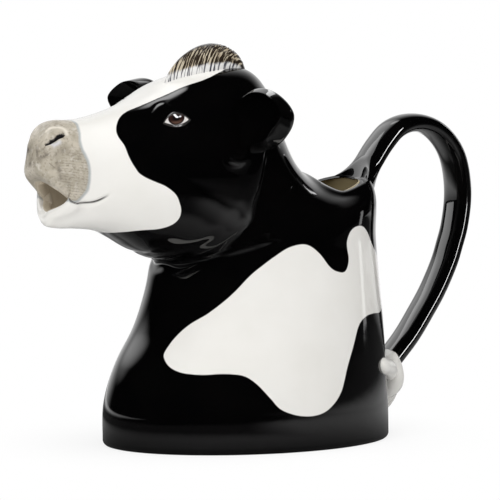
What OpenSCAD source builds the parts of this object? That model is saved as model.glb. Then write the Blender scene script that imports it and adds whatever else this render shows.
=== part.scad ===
// Cow creamer: a slip-cast, glazed jug in the shape of a cow's head, neck and chest.
// The mouth pours, the hole behind the neck fills, and the tail is the handle.
// The cow looks along -X, the foot stands on Z = 0, and Y = 0 is its middle plane.

/* [Jug body] */
// Length of the foot, front to back
base_length = 89; // [80:1:98]
// Width of the foot, side to side
base_width = 67; // [58:1:76]
// Height of the filling rim
rim_height = 73; // [70:0.5:76]
// Height of the throat, where the jaw leaves the chest
throat_height = 54; // [51:0.5:56]
// Thickness of the cast wall
wall = 3; // [2.4:0.1:3.6]
// Thickness of the floor
floor_thickness = 4; // [3:0.25:6]
// Rounding of the foot's edge
foot_ease = 1.2; // [0.6:0.1:1.6]

/* [Filling hole] */
// Rise of the rolled rim above the shoulder
rim_roll = 0.8; // [0.4:0.1:1.4]
// Further rise of the rim at the tail's side of the hole
rim_lift = 3.2; // [2:0.2:4.4]
// Half angle of the hole across the back
hole_half_angle = 27; // [23:1:30]

/* [Head] */
// Reach of the muzzle in front of the throat
head_reach = 42; // [38:0.5:46]
// Rise of the poll above the throat
head_rise = 56; // [53:0.5:60]
// Width of the head at the cheeks
head_width = 53; // [47:1:58]
// Width of the muzzle at the nose
muzzle_width = 23.4; // [21:0.2:26]
// Swell of the closed eyelids round each eye
eye_swell = 1.3; // [0.8:0.1:1.8]
// Swell of the flared nostrils
nostril_swell = 1.1; // [0.6:0.1:1.6]
// Depth of the crease between jaw and neck
crease_depth = 1.2; // [0.6:0.1:1.6]

/* [Ears] */
// Length of an ear from inside its root to the tip
ear_length = 30; // [27:0.5:34]
// Height of an ear across its widest part
ear_height = 18.4; // [16:0.4:21]
// Thickness of an ear before it is hollowed
ear_thickness = 7.6; // [6.8:0.2:8.6]
// Lift of the ear above level, in degrees
ear_lift = 9.5; // [6:0.5:14]
// Sweep of the ear towards the back, in degrees
ear_sweep = -1.5; // [-6:0.5:4]

/* [Tail handle] */
// Reach of the handle behind the back wall
handle_reach = 34; // [31:0.5:38]
// Height of the top of the handle's middle line
handle_top = 90.7; // [88:0.5:94]
// Height at which the handle's middle line meets the tuft
handle_foot = 23; // [21:0.5:26]
// Width of the strap, side to side
strap_width = 12.5; // [10:0.25:14]
// Thickness of the strap
strap_thickness = 5.4; // [4.6:0.2:6.4]

/* [Tail tuft] */
// Height of the tuft
tuft_height = 15; // [13:0.5:18]
// Spread of the tuft along the back wall
tuft_spread = 22; // [18:0.5:26]
// Thickness of one lock of the tuft
tuft_lock = 6; // [5:0.25:7]

/* [Forelock] */
// Height of the forelock above the poll
forelock_height = 8; // [6:0.2:9]
// Width of the forelock
forelock_width = 18; // [15:0.5:21]
// Length of the forelock, front to back
forelock_length = 25; // [22:0.5:28]

/* [Hidden] */

// Points round each ring of the castings
around = 40;
// Half of the foot's two measures, which the shares below multiply
half_length = base_length / 2;
half_width = base_width / 2;

// Jug body, from the foot up to the cut behind the cheeks, one row a station:
// front reach, front height, back reach, back height and half width, as shares of the
// half length, throat height, half length, rim height and half width of the jug
body_shares = [
    [1.000, 0.000, 1.000, 0.000, 1.000],
    [0.994, 0.222, 0.994, 0.164, 0.994],
    [0.910, 0.426, 0.976, 0.329, 0.963],
    [0.776, 0.611, 0.953, 0.493, 0.921],
    [0.697, 0.778, 0.926, 0.658, 0.886],
    [0.659, 0.907, 0.904, 0.822, 0.856],
    [0.652, 0.968, 0.908, 0.967, 0.838],
    [0.656, 0.981, 0.830, 0.990, 0.820],
    [0.661, 0.989, 0.629, 0.994, 0.796],
    [0.665, 0.994, 0.436, 1.030, 0.772],
    [0.672, 1.000, 0.281, 1.123, 0.748]];

// Head, from the cheeks to the mouth, one row a station:
// jaw reach, jaw rise, top reach, top rise, half width, squareness, pull of the sides and
// narrowing, where reach is a share of head_reach and rise of head_rise, both from the throat,
// and the half width and the pull are shares of half the head's width. The narrowing says how
// much narrower the jaw is than the cheeks or, below zero, how much narrower the top is.
head_shares = [
    [0.021, 0.005, -0.902, 0.679, 0.958, 2.2, 0, -0.28],
    [0.069, 0.016, -0.819, 0.866, 0.989, 2.3, 0, -0.42],
    [0.145, 0.039, -0.664, 0.973, 0.981, 2.3, 0, -0.32],
    [0.240, 0.075, -0.414, 0.988, 0.943, 2.3, 0, -0.16],
    [0.336, 0.116, -0.164, 0.946, 0.887, 2.3, 0, -0.05],
    [0.443, 0.154, 0.050, 0.870, 0.804, 2.3, 0, 0],
    [0.550, 0.175, 0.252, 0.809, 0.691, 2.3, 0, 0],
    [0.645, 0.184, 0.443, 0.768, 0.581, 2.3, 0, 0]];
// Muzzle, in the same form, but with widths and pulls as shares of half the muzzle's width
muzzle_shares = [
    [0.721, 0.188, 0.598, 0.745, 1.145, 2.3, 0.000, 0.05],
    [0.796, 0.190, 0.717, 0.738, 1.051, 2.4, 0.000, 0.18],
    [0.860, 0.200, 0.812, 0.739, 1.000, 2.4, 0.060, 0.38],
    [0.870, 0.218, 0.890, 0.719, 0.940, 2.4, 0.150, 0.54],
    [0.861, 0.240, 0.955, 0.657, 0.888, 2.3, 0.225, 0.62],
    [0.850, 0.257, 0.988, 0.570, 0.845, 2.2, 0.280, 0.65],
    [0.840, 0.269, 0.992, 0.484, 0.810, 2.0, 0.322, 0.66],
    [0.832, 0.277, 0.925, 0.434, 0.710, 1.7, 0.352, 0.66]];

throat_x = -body_shares[len(body_shares) - 1][0] * half_length;

// Stations in real sizes: front x and z, back x and z, half width, squareness, pull, narrowing
cut_narrowing = -0.1;
stations = concat(
    [for (i = [0 : len(body_shares) - 1]) let (s = body_shares[i])
        [-s[0] * half_length, s[1] * throat_height, s[2] * half_length, s[3] * rim_height,
         s[4] * half_width, i < len(body_shares) - 1 ? 2 : 2.1, 0,
         i < len(body_shares) - 1 ? 0 : cut_narrowing]],
    [for (s = head_shares) head_row(s, head_width / 2)],
    [for (s = muzzle_shares) head_row(s, muzzle_width / 2)]);
function head_row(s, half) =
    [throat_x - s[0] * head_reach, throat_height + s[1] * head_rise,
     throat_x - s[2] * head_reach, throat_height + s[3] * head_rise, s[4] * half, s[5],
     s[6] * half, s[7]];

cut_station = len(body_shares) - 1;
mouth_station = len(stations) - 1;

// A value of a table between two of its rows, along a smooth curve through the rows
function smooth_row(table, t) =
    let (last = len(table) - 1, i = max(0, min(last - 1, floor(t))), f = t - i,
         b = table[i], c = table[i + 1],
         a = i > 0 ? table[i - 1] : 2 * b - c,
         d = i < last - 1 ? table[i + 2] : 2 * c - b)
    (2 * b + (c - a) * f + (2 * a - 5 * b + 4 * c - d) * f * f
     + (3 * b - a - 3 * c + d) * f * f * f) / 2;

function signed_power(v, e) = sign(v) * pow(abs(v), e);

// The corners of the mouth are pulled back, and down by a share of that
corner_drop = 0.65;
// A point of the skin at a station and an angle round it, set in by a wall:
// angle 0 is the back or top, 90 the cow's left side, and 180 the chest or jaw
function plain_skin(t, angle, inset) =
    let (s = smooth_row(stations, t),
         front = [s[0], s[1]], back = [s[2], s[3]],
         middle = (front + back) / 2, half = (back - front) / 2, reach = norm(half),
         unit = half / reach, ahead = [-unit[1], unit[0]],
         e = 2 / s[5], a = signed_power(cos(angle), e), b = signed_power(sin(angle), e),
         jaw = (1 - cos(angle)) / 2,
         side = 1 - max(s[7], 0) * pow(jaw, 3) + min(s[7], 0) * pow(1 - jaw, 3),
         pull = s[6] * pow(sin(angle), 4),
         p = middle + unit * a * (reach - inset) - ahead * pull - [0, corner_drop * pull])
    [p[0], -b * (s[4] - inset) * side, p[1]];

// Middle of a station's ring, from which its skin swells outwards
function core(t) =
    let (s = smooth_row(stations, t)) [(s[0] + s[2]) / 2, 0, (s[1] + s[3]) / 2];

function hump(distance, radius) = exp(-pow(distance / radius, 2));
function mirrored(p) = [p[0], -abs(p[1]), p[2]];

// Places on the skin, as station and angle: eye, brow, nostril, cheek and temple
eye_place = [15.98, 55];
brow_place = [15.5, 36];
nostril_place = [22.3, 38];
cheek_place = [14.3, 104];
eye_radius = head_width * 0.1;
brow_radius = head_width * 0.13;
nostril_radius = muzzle_width * 0.24;
cheek_radius = head_width * 0.26;
brow_share = 0.7;
cheek_share = 0.9;

eye_point = plain_skin(eye_place[0], eye_place[1], 0);
brow_point = plain_skin(brow_place[0], brow_place[1], 0);
nostril_point = plain_skin(nostril_place[0], nostril_place[1], 0);
cheek_point = plain_skin(cheek_place[0], cheek_place[1], 0);

// The crease runs from the throat up behind the jaw, as stations and angles
crease_path = [for (c = [[6.2, 180], [5.8, 160], [8.4, 136], [9.5, 120], [10.1, 101],
                         [10.8, 90], [11.4, 76]]) plain_skin(c[0], c[1], 0)];
crease_radius = head_width * 0.055;
function segment_gap(p, a, b) =
    let (along = b - a, f = max(0, min(1, (p - a) * along / (along * along))))
    norm(p - a - along * f);
function crease_gap(p) =
    min([for (i = [0 : len(crease_path) - 2]) segment_gap(p, crease_path[i], crease_path[i + 1])]);

// Swell of the skin at a point, outwards where it is positive
function relief(p) =
    eye_swell * hump(norm(p - eye_point), eye_radius)
    + eye_swell * brow_share * hump(norm(p - brow_point), brow_radius)
    + nostril_swell * hump(norm(p - nostril_point), nostril_radius)
    + eye_swell * cheek_share * hump(norm(p - cheek_point), cheek_radius)
    - crease_depth * hump(crease_gap(p), crease_radius);

// Filling hole: its middle and half length in stations, and its half angle
hole_middle = 7.75;
hole_half_stations = 1.3;
hole_spread = 1.55;
rim_fade = 0.2;
lift_fade = 0.6;
lift_start = 0.35;
function hole_radius(t, angle) =
    let (a = angle > 180 ? angle - 360 : angle)
    norm([(t - hole_middle) / hole_half_stations, a / hole_half_angle]);

// The rim rises towards the tail
function rim_rise(t, angle) =
    let (r = hole_radius(t, angle),
         f = (hole_middle - t) / hole_half_stations / max(r, 0.5),
         risen = max(0, min(1, (f + lift_start) / (1 + lift_start))))
    rim_lift * risen * risen * (3 - 2 * risen) * hump(r - 1, lift_fade);

function skin(t, angle, inset) =
    let (p = plain_skin(t, angle, inset), outward = p - core(t), size = norm(outward))
    p + outward / size * relief(mirrored(p))
      + [0, 0, rim_roll * hump(hole_radius(t, angle) - 1, rim_fade) + rim_rise(t, angle)];

// Grid columns that the hole takes up on each side, and its grid rows
hole_columns = 3;
hole_rows = [-1.5, -1.25, -1, -0.66, -0.33, 0, 0.33, 0.66, 1, 1.25, 1.5];
first_hole_row = 2;
last_hole_row = 8;

// Near the hole the square grid is drawn into ovals, so that the hole has a round edge
function drawn(row, column) =
    let (q = column / hole_columns, square = max(abs(row), abs(q)), round = norm([row, q]),
         f = max(0, min(1, (square - 1) / (hole_spread - 1))),
         keep = f * f * (3 - 2 * f),
         pull = square > 0 ? square / round : 1,
         plain_angle = column * 360 / around,
         oval_t = hole_middle + hole_half_stations * row * pull,
         oval_angle = hole_half_angle * q * pull,
         plain_t = hole_middle + hole_half_stations * row)
    [oval_t + (plain_t - oval_t) * keep, oval_angle + (plain_angle - oval_angle) * keep];

function signed_column(j) = j > around / 2 ? j - around : j;
function angle_of(j) = j * 360 / around;

// Rows of the jug's grid: station and set-in of the foot, then the wall, then the hole
foot_stations = [[0, 1], [0.03, 0.4], [0.1, 0]];
floor_station = floor_thickness / (body_shares[1][1] * throat_height);
floor_stations = [[floor_station, 1], [floor_station + 0.06, 0.35], [floor_station + 0.15, 0]];
wall_stations = [0.75, 1.3, 1.9, 2.5, 3.1, 3.7, 4.3, 4.8, 5.2, 5.52];

function grid_of_jug(first_rows, inset) = concat(
    [for (r = first_rows) [for (j = [0 : around - 1])
        let (p = skin(r[0], angle_of(j), inset + r[1] * foot_ease)) [p[0], p[1], p[2]]]],
    [for (t = wall_stations) [for (j = [0 : around - 1]) skin(t, angle_of(j), inset)]],
    [for (row = hole_rows) [for (j = [0 : around - 1])
        let (c = signed_column(j), near = abs(c) <= hole_columns * hole_spread,
             d = near ? drawn(row, c) : [hole_middle + hole_half_stations * row, angle_of(j)])
        skin(d[0], d[1], inset)]],
    [[for (j = [0 : around - 1]) skin(cut_station, angle_of(j), inset)]]);

jug_rows_before_hole = len(foot_stations) + len(wall_stations);
jug_rows = jug_rows_before_hole + len(hole_rows) + 1;
hole_low = jug_rows_before_hole + first_hole_row;
hole_high = jug_rows_before_hole + last_hole_row;

function flat(grid) = [for (row = grid) each row];
function at(row, j) = row * around + (j + around) % around;
function quad(a, b, c, d) = [[a, b, c], [a, c, d]];
function flipped(faces) = [for (f = faces) [f[2], f[1], f[0]]];
function shifted(faces, by) = [for (f = faces) [for (v = f) v + by]];

// Faces between the rows of a grid, without the ones that the hole takes
function grid_faces(rows, low, high) =
    [for (r = [0 : rows - 2]) for (j = [0 : around - 1])
        let (c = signed_column(j), open = r >= low && r < high && c >= -hole_columns && c < hole_columns)
        if (!open) each quad(at(r, j), at(r, j + 1), at(r + 1, j + 1), at(r + 1, j))];
function ring_list(row) = [for (j = [0 : around - 1]) at(row, j)];

// The hole's edge as grid places, clockwise seen from above
hole_loop = concat(
    [for (r = [hole_low : hole_high - 1]) [r, hole_columns]],
    [for (c = [hole_columns : -1 : 1 - hole_columns]) [hole_high, c]],
    [for (r = [hole_high : -1 : hole_low + 1]) [r, -hole_columns]],
    [for (c = [-hole_columns : hole_columns - 1]) [hole_low, c]]);
lip_turns = [45, 90, 135];

module body_casting() {
    outside = grid_of_jug(foot_stations, 0);
    inside = grid_of_jug(floor_stations, wall);
    middle = skin(hole_middle, 0, 0);
    edge = [for (h = hole_loop) outside[h[0]][(h[1] + around) % around]];
    inner_edge = [for (h = hole_loop) inside[h[0]][(h[1] + around) % around]];
    n = len(hole_loop);
    lips = [for (turn = lip_turns) for (i = [0 : n - 1])
        let (half = (edge[i] - inner_edge[i]) / 2, centre = (edge[i] + inner_edge[i]) / 2,
             inward = middle - centre, level = inward - half * (inward * half) / (half * half))
        centre + half * cos(turn) + level / norm(level) * norm(half) * sin(turn)];
    count = jug_rows * around;
    lip_start = 2 * count;
    function lip_index(ring, i) =
        let (k = (i + n) % n, h = hole_loop[k])
        ring == 0 ? at(h[0], h[1])
        : ring > len(lip_turns) ? count + at(h[0], h[1])
        : lip_start + (ring - 1) * n + k;
    lip_faces = [for (ring = [0 : len(lip_turns)]) for (i = [0 : n - 1])
        each quad(lip_index(ring, i), lip_index(ring, i + 1),
                  lip_index(ring + 1, i + 1), lip_index(ring + 1, i))];
    top = jug_rows - 1;
    cut_faces = [for (j = [0 : around - 1])
        each quad(at(top, j), at(top, j + 1), count + at(top, j + 1), count + at(top, j))];
    walls = grid_faces(jug_rows, hole_low, hole_high);
    foot = [for (j = [around - 1 : -1 : 0]) j];
    floor_face = [for (j = [0 : around - 1]) count + j];
    color([0.03, 0.03, 0.035])
        polyhedron(points = concat(flat(outside), flat(inside), lips),
                   faces = concat(walls, flipped(shifted(walls, count)), lip_faces, cut_faces,
                                  [foot, floor_face]));
}

// Rows of the head's grid outside and inside, and the rows just inside the lips
head_steps = 0.5;
head_outside = [for (t = [cut_station : head_steps : mouth_station]) t];
cavity_end = mouth_station - 5.5;
cavity_steps = [for (t = [cavity_end : -head_steps : cut_station]) t];
lip_depth = wall;

module head_casting() {
    outer_rings = [for (t = head_outside) [for (j = [0 : around - 1]) skin(t, angle_of(j), 0)]];
    mouth_ring = outer_rings[len(outer_rings) - 1];
    channel_rings = [for (k = [0.5, 1]) [for (p = mouth_ring) p + [lip_depth * k, 0, 0]]];
    cavity_rings = [for (t = cavity_steps) [for (j = [0 : around - 1]) skin(t, angle_of(j), wall)]];
    rings = concat(outer_rings, channel_rings, cavity_rings);
    last = len(rings) - 1;
    faces = [for (r = [0 : last]) for (j = [0 : around - 1])
        let (next = r == last ? 0 : r + 1)
        each quad(at(r, j), at(r, j + 1), at(next, j + 1), at(next, j))];
    color([0.93, 0.92, 0.89])
        polyhedron(points = flat(rings), faces = faces);
}

// The castings' outsides as solid forms, which cut the seats of the pieces joined to them
module solid_form(grid) {
    last = len(grid) - 1;
    polyhedron(points = flat(grid),
               faces = concat(grid_faces(len(grid), 0, 0),
                              [[for (j = [around - 1 : -1 : 0]) j], ring_list(last)]));
}
module jug_form() { solid_form(grid_of_jug(foot_stations, 0)); }
module head_form() {
    solid_form([for (t = head_outside) [for (j = [0 : around - 1]) skin(t, angle_of(j), 0)]]);
}

// Ear: places along it, then the upper and the lower edge and the half thickness there, as
// shares of its length, height and thickness
ear_place = [13.3, 68];
ear_root_depth = wall;
ear_shares = [
    [-0.04, 0.24, -0.17, 0.80], [0.10, 0.41, -0.40, 0.92], [0.28, 0.505, -0.475, 1.00],
    [0.46, 0.507, -0.472, 1.00], [0.62, 0.455, -0.43, 0.96], [0.76, 0.365, -0.35, 0.88],
    [0.88, 0.23, -0.23, 0.74], [0.96, 0.09, -0.13, 0.50], [0.995, 0.00, -0.06, 0.22]];
slice = 0.3;
ear_fn = 16;
scoop_fn = 20;
module ear_slice(i) {
    s = ear_shares[i];
    translate([ear_length * s[0], 0, ear_height * (s[1] + s[2]) / 2])
        rotate([0, 90, 0])
            scale([ear_height * (s[1] - s[2]) / 2, ear_thickness * s[3] / 2, 1])
                cylinder(h = slice, r = 1, center = true, $fn = ear_fn);
}
module ear_blank() {
    for (i = [0 : len(ear_shares) - 2])
        hull() {
            ear_slice(i);
            ear_slice(i + 1);
        }
}
// The hollow faces forwards and follows the ear's outline, with a broader rim behind
scoop_shares = [
    [0.16, 0.24, -0.26], [0.36, 0.375, -0.31], [0.56, 0.38, -0.25], [0.75, 0.30, -0.13], [0.90, 0.10, -0.02]];
scoop_depth_share = 0.66;
scoop_slope_share = 0.10;
module scoop_bead(i) {
    s = scoop_shares[i];
    translate([ear_length * s[0], -ear_thickness * (0.5 + scoop_slope_share), ear_height * (s[1] + s[2]) / 2])
        scale([ear_length * scoop_slope_share, ear_thickness * scoop_depth_share,
               ear_height * (s[1] - s[2]) / 2])
            sphere(r = 1, $fn = scoop_fn);
}
module ear_scoop() {
    for (i = [0 : len(scoop_shares) - 2])
        hull() {
            scoop_bead(i);
            scoop_bead(i + 1);
        }
}
module ear() {
    place = skin(ear_place[0], ear_place[1], ear_root_depth);
    difference() {
        translate(place)
            rotate([0, 0, ear_sweep - 90])
                rotate([0, -ear_lift, 0])
                    difference() {
                        ear_blank();
                        ear_scoop();
                    }
        head_form();
        jug_form();
    }
}
module left_ear() { color([0.03, 0.03, 0.035]) ear(); }
module right_ear() { color([0.03, 0.03, 0.035]) mirror([0, 1, 0]) ear(); }

// Tail: its middle line, out from the back wall as a share of the reach, and up as a share
// of the height between the tuft and the top
back_wall_x = body_shares[5][2] * half_length;
tail_shares = [
    [-0.055, 0.700], [0.000, 0.785], [0.085, 0.850], [0.180, 0.912], [0.300, 0.970], [0.440, 0.998],
    [0.590, 0.998], [0.735, 0.970], [0.860, 0.915], [0.945, 0.845], [0.992, 0.750], [1.000, 0.650],
    [0.967, 0.541], [0.917, 0.460], [0.855, 0.375], [0.736, 0.260], [0.610, 0.165], [0.472, 0.070],
    [0.330, -0.008], [0.050, -0.150]];
root_flare = 1.3;
foot_taper = 0.88;
tail_steps = 38;
strap_sides = 14;
flare_length_share = 0.11;
function tail_point(f) =
    let (s = smooth_row(tail_shares, f * (len(tail_shares) - 1)))
    [back_wall_x + s[0] * handle_reach, 0, handle_foot + s[1] * (handle_top - handle_foot)];
function tail_width(f) =
    strap_width * (1 + (root_flare - 1) * hump(f, flare_length_share) - (1 - foot_taper) * f);
function strap_ring(f) =
    let (tiny = 1 / tail_steps / 4,
         ahead = tail_point(min(1, f + tiny)) - tail_point(max(0, f - tiny)),
         out = [-ahead[2], 0, ahead[0]] / norm(ahead), middle = tail_point(f))
    [for (k = [0 : strap_sides - 1]) let (angle = k * 360 / strap_sides)
        middle + out * cos(angle) * strap_thickness / 2 + [0, sin(angle) * tail_width(f) / 2, 0]];
module strap() {
    rings = [for (i = [0 : tail_steps]) strap_ring(i / tail_steps)];
    function place(i, k) = i * strap_sides + (k + strap_sides) % strap_sides;
    polyhedron(points = flat(rings),
               faces = concat([for (i = [0 : tail_steps - 1]) for (k = [0 : strap_sides - 1])
                                  each quad(place(i, k), place(i, k + 1),
                                            place(i + 1, k + 1), place(i + 1, k))],
                              [[for (k = [strap_sides - 1 : -1 : 0]) k],
                               [for (k = [0 : strap_sides - 1]) place(tail_steps, k)]]));
}

// Two ribs run from the sides of the rim up into the edges of the strap
rib_fn = 9;
rib_starts = [[7.35, 28], [7, 27], [6.66, 23], [6.4, 16.5]];
rib_rise_shares = [0.15, 0.32, 0.62, 1.1];
rib_size_shares = [0.32, 0.44, 0.58, 0.66];
rib_end_share = 0.09;
module rib_bead(side, k) {
    last = len(rib_starts);
    end = tail_point(rib_end_share)
        + [0, -side * (tail_width(rib_end_share) / 2 - strap_thickness * 0.45), 0];
    start = skin(rib_starts[min(k, last - 1)][0], side * rib_starts[min(k, last - 1)][1], wall / 2);
    size = strap_thickness / 2 * (k == last ? 0.8 : rib_size_shares[k]);
    lift = k == last ? 0 : rib_rise_shares[k] * wall;
    translate(k == last ? end : start + [0, 0, lift])
        rotate([side * 7, k * 11, 0])
            sphere(r = size, $fn = rib_fn);
}
module root_ribs() {
    for (side = [-1, 1])
        for (k = [0 : len(rib_starts) - 1])
            hull() {
                rib_bead(side, k);
                rib_bead(side, k + 1);
            }
}
module tail_handle() {
    color([0.03, 0.03, 0.035])
        difference() {
            union() {
                strap();
                root_ribs();
            }
            jug_form();
        }
}

// Tuft: locks that fan out from the end of the tail and lie on the back wall
tuft_locks = 9;
tuft_fn = 8;
lock_crown_shares = [0.60, 0.42, 0.50];
lock_belly_shares = [0.66, 0.46, 0.55];
lock_tip_shares = [0.30, 0.22, 0.22];
tuft_join_share = 0.95;
module lock_bead(place, shares) {
    translate(place) scale(shares * tuft_lock) sphere(r = 1, $fn = tuft_fn);
}
module tuft() {
    top = tail_point(tuft_join_share);
    for (i = [0 : tuft_locks - 1]) {
        side = 2 * i / (tuft_locks - 1) - 1;
        drop = tuft_height * (1 - 0.42 * side * side);
        end_y = side * (tuft_spread - tuft_lock) / 2;
        wall_x = half_length * sqrt(1 - pow(end_y / half_width, 2));
        crown = [top[0] - strap_thickness * 0.3, side * strap_width * 0.36, top[2]];
        belly = [(crown[0] + wall_x) / 2 + tuft_lock * 0.24, end_y * 0.85, top[2] - drop * 0.5];
        tip = [wall_x, end_y, top[2] - drop];
        hull() {
            lock_bead(crown, lock_crown_shares);
            lock_bead(belly, lock_belly_shares);
            lock_bead(tip, lock_tip_shares);
        }
    }
}
// A side lock on each side wraps round the wall: how far it reaches out and drops at each bead
side_lock_shares = [[0.62, 0.10, 0.62], [0.98, 0.30, 0.34]];
module side_locks() {
    top = tail_point(tuft_join_share);
    for (side = [-1, 1]) {
        places = [for (s = side_lock_shares) let (y = side * s[0] * tuft_spread)
            [half_length * sqrt(1 - pow(y / half_width, 2)), y, top[2] - s[1] * tuft_height]];
        hull() {
            lock_bead([top[0] - strap_thickness * 0.3, side * strap_width * 0.3, top[2]],
                      lock_crown_shares);
            lock_bead(places[0], [1, 1, 1] * side_lock_shares[0][2]);
        }
        hull() {
            lock_bead(places[0], [1, 1, 1] * side_lock_shares[0][2]);
            lock_bead(places[1], [1, 1, 1] * side_lock_shares[1][2]);
        }
    }
}
module tail_tuft() {
    color([0.93, 0.92, 0.89])
        difference() {
            union() {
                tuft();
                side_locks();
            }
            strap();
            jug_form();
        }
}

// Forelock: locks that spring from the poll, arch over it and fall on the forehead.
// Each lock is an arch whose underside lies in the head, where the head's form cuts it.
forelock_locks = 9;
forelock_fn = 9;
arch_shares = [0, 0.18, 0.42, 0.70, 1];
forelock_back = -0.68;
crown_share = 0.955;
tip_drop_share = 0.130;
module forelock_bead(f, side) {
    x = throat_x - forelock_back * head_reach - forelock_length * f;
    spread = sin(24 + 126 * f);
    ground = throat_height + head_rise * (crown_share - tip_drop_share * f * f);
    rise = forelock_height * sin(15 + 150 * f) * sqrt(1 - 0.8 * side * side);
    size = forelock_width / forelock_locks * (1 - 0.3 * f);
    translate([x, side * spread * (forelock_width - size) / 2, ground + rise])
        scale([size * 1.2, size * 0.72, size])
            sphere(r = 1, $fn = forelock_fn);
}
module forelock() {
    color([0.42, 0.38, 0.32])
        difference() {
            union() {
                for (i = [0 : forelock_locks - 1])
                    hull() {
                        for (f = arch_shares) forelock_bead(f, 2 * i / (forelock_locks - 1) - 1);
                    }
            }
            head_form();
        }
}

body_casting();
head_casting();
left_ear();
right_ear();
tail_handle();
tail_tuft();
forelock();
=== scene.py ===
import bpy
import numpy as np
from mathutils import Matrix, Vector


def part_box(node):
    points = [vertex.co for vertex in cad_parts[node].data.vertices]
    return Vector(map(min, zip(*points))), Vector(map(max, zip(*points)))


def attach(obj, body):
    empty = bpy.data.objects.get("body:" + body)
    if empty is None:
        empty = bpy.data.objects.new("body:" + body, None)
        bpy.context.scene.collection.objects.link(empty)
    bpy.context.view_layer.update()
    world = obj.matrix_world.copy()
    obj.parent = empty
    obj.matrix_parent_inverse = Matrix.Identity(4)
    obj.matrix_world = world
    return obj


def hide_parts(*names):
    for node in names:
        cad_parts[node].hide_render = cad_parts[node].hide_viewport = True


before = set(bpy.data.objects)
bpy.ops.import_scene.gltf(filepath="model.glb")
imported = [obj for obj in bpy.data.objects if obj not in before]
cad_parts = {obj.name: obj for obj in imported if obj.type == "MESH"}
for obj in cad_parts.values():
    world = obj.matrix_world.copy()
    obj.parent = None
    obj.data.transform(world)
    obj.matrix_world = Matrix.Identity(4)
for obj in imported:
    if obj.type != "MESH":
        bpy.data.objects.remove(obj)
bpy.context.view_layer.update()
mm = 0.001


# Studio: a white sweep under plain soft light
# The jug stands on a pale floor. The camera looks at its front left side through a long lens,
# a little above the floor, and soft boxes above and behind give the glaze its highlights.
camera_turn = np.radians(32.0)
camera_distance = 1420 * mm
camera_height = 180 * mm
camera_sensor = 36.0
camera_lens = 352.8
camera_reach = (50 * mm, 20000 * mm)
aim = np.array([1.2, 0.0, 55.5]) * mm
camera_data = bpy.data.cameras.new("camera")
camera_data.sensor_width = camera_sensor
camera_data.lens = camera_lens
camera_data.clip_start, camera_data.clip_end = camera_reach
camera = bpy.data.objects.new("camera", camera_data)
bpy.context.collection.objects.link(camera)
camera.location = (aim[0] - np.sin(camera_turn) * camera_distance,
                   aim[1] - np.cos(camera_turn) * camera_distance, camera_height)
camera.rotation_euler = (Vector(aim) - camera.location).to_track_quat("-Z", "Y").to_euler()
bpy.context.scene.camera = camera
bpy.context.scene.view_settings.view_transform = "Standard"


def new_material(name):
    """An empty node material with an output, which the caller fills."""
    material = bpy.data.materials.new(name)
    material.use_nodes = True
    tree = material.node_tree
    tree.nodes.clear()
    tree.nodes.new("ShaderNodeOutputMaterial").name = "output"
    return material


def add(tree, kind, **settings):
    """One node with its settings: a key is a property, or a socket's name with its value."""
    node = tree.nodes.new(kind)
    for key, value in settings.items():
        if hasattr(node, key):
            setattr(node, key, value)
        else:
            node.inputs[key.replace("_", " ").title()].default_value = value
    return node


def join(tree, source, target):
    """A link from one socket to another."""
    tree.links.new(source, target)


def put(tree, value, socket):
    """A socket takes its value from another socket, or as a plain number or colour."""
    if hasattr(value, "is_output"):
        join(tree, value, socket)
    else:
        socket.default_value = value


def worked(tree, operation, *values, clamp=False):
    """A value worked out from others, each of them a socket or a number."""
    node = add(tree, "ShaderNodeMath", operation=operation, use_clamp=clamp)
    for socket, value in zip(node.inputs, values):
        put(tree, value, socket)
    return node.outputs[0]


def ramp(tree, source, low, high, start=0.0, end=1.0, soft=True):
    """A value carried from the span low to high onto the span start to end, and held outside."""
    node = add(tree, "ShaderNodeMapRange", interpolation_type="SMOOTHSTEP" if soft else "LINEAR")
    for socket, value in (("From Min", low), ("From Max", high), ("To Min", start), ("To Max", end)):
        node.inputs[socket].default_value = value
    join(tree, source, node.inputs["Value"])
    return node.outputs[0]


def mixed(tree, share, first, second):
    """A shader that goes from the first to the second by a share."""
    node = tree.nodes.new("ShaderNodeMixShader")
    for socket, source in zip(node.inputs, (share, first, second)):
        join(tree, source, socket)
    return node.outputs[0]


def soft_box(name, place, target, size, power):
    """A rectangular area lamp at a place, turned to face a target."""
    data = bpy.data.lights.new(name, "AREA")
    data.shape = "RECTANGLE"
    data.size = size[0]
    data.size_y = size[1]
    data.energy = power
    lamp = bpy.data.objects.new(name, data)
    bpy.context.collection.objects.link(lamp)
    lamp.location = place
    lamp.rotation_euler = (Vector(target) - Vector(place)).to_track_quat("-Z", "Y").to_euler()
    return lamp


# Lamps: place, point aimed at, and width and height, all in metres, then power in watts
lamp_rows = (
    ("key_box", (-0.95, -0.65, 0.75), (0, 0, 0.06), (0.8, 0.8), 8.2),
    ("top_box", (0.15, -0.15, 1.0), (0, 0, 0.05), (1.0, 0.8), 6.0),
    ("right_card", (1.10, 0.45, 0.31), (0, 0, 0.06), (0.16, 0.62), 0.8),
    ("corner_card", (1.18, -0.14, 0.20), (0, 0, 0.06), (0.10, 0.5), 0.22),
    ("strip_light", (0.20, -1.03, 0.40), (0.05, 0, 0.06), (0.16, 0.95), 11.0),
    ("side_sheet", (-0.48, 0.76, 0.48), (0.04, 0, 0.08), (0.5, 0.85), 2.6),
    ("rear_sheet", (0.44, 0.65, 0.78), (0, -0.03, 0.1), (0.08, 0.70), 0.4),
    ("crown_light", (0.42, -0.28, 1.0), (-0.02, -0.05, 0.1), (0.1, 0.1), 0.5))
lamps = {row[0]: soft_box(*row) for row in lamp_rows}
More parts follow.
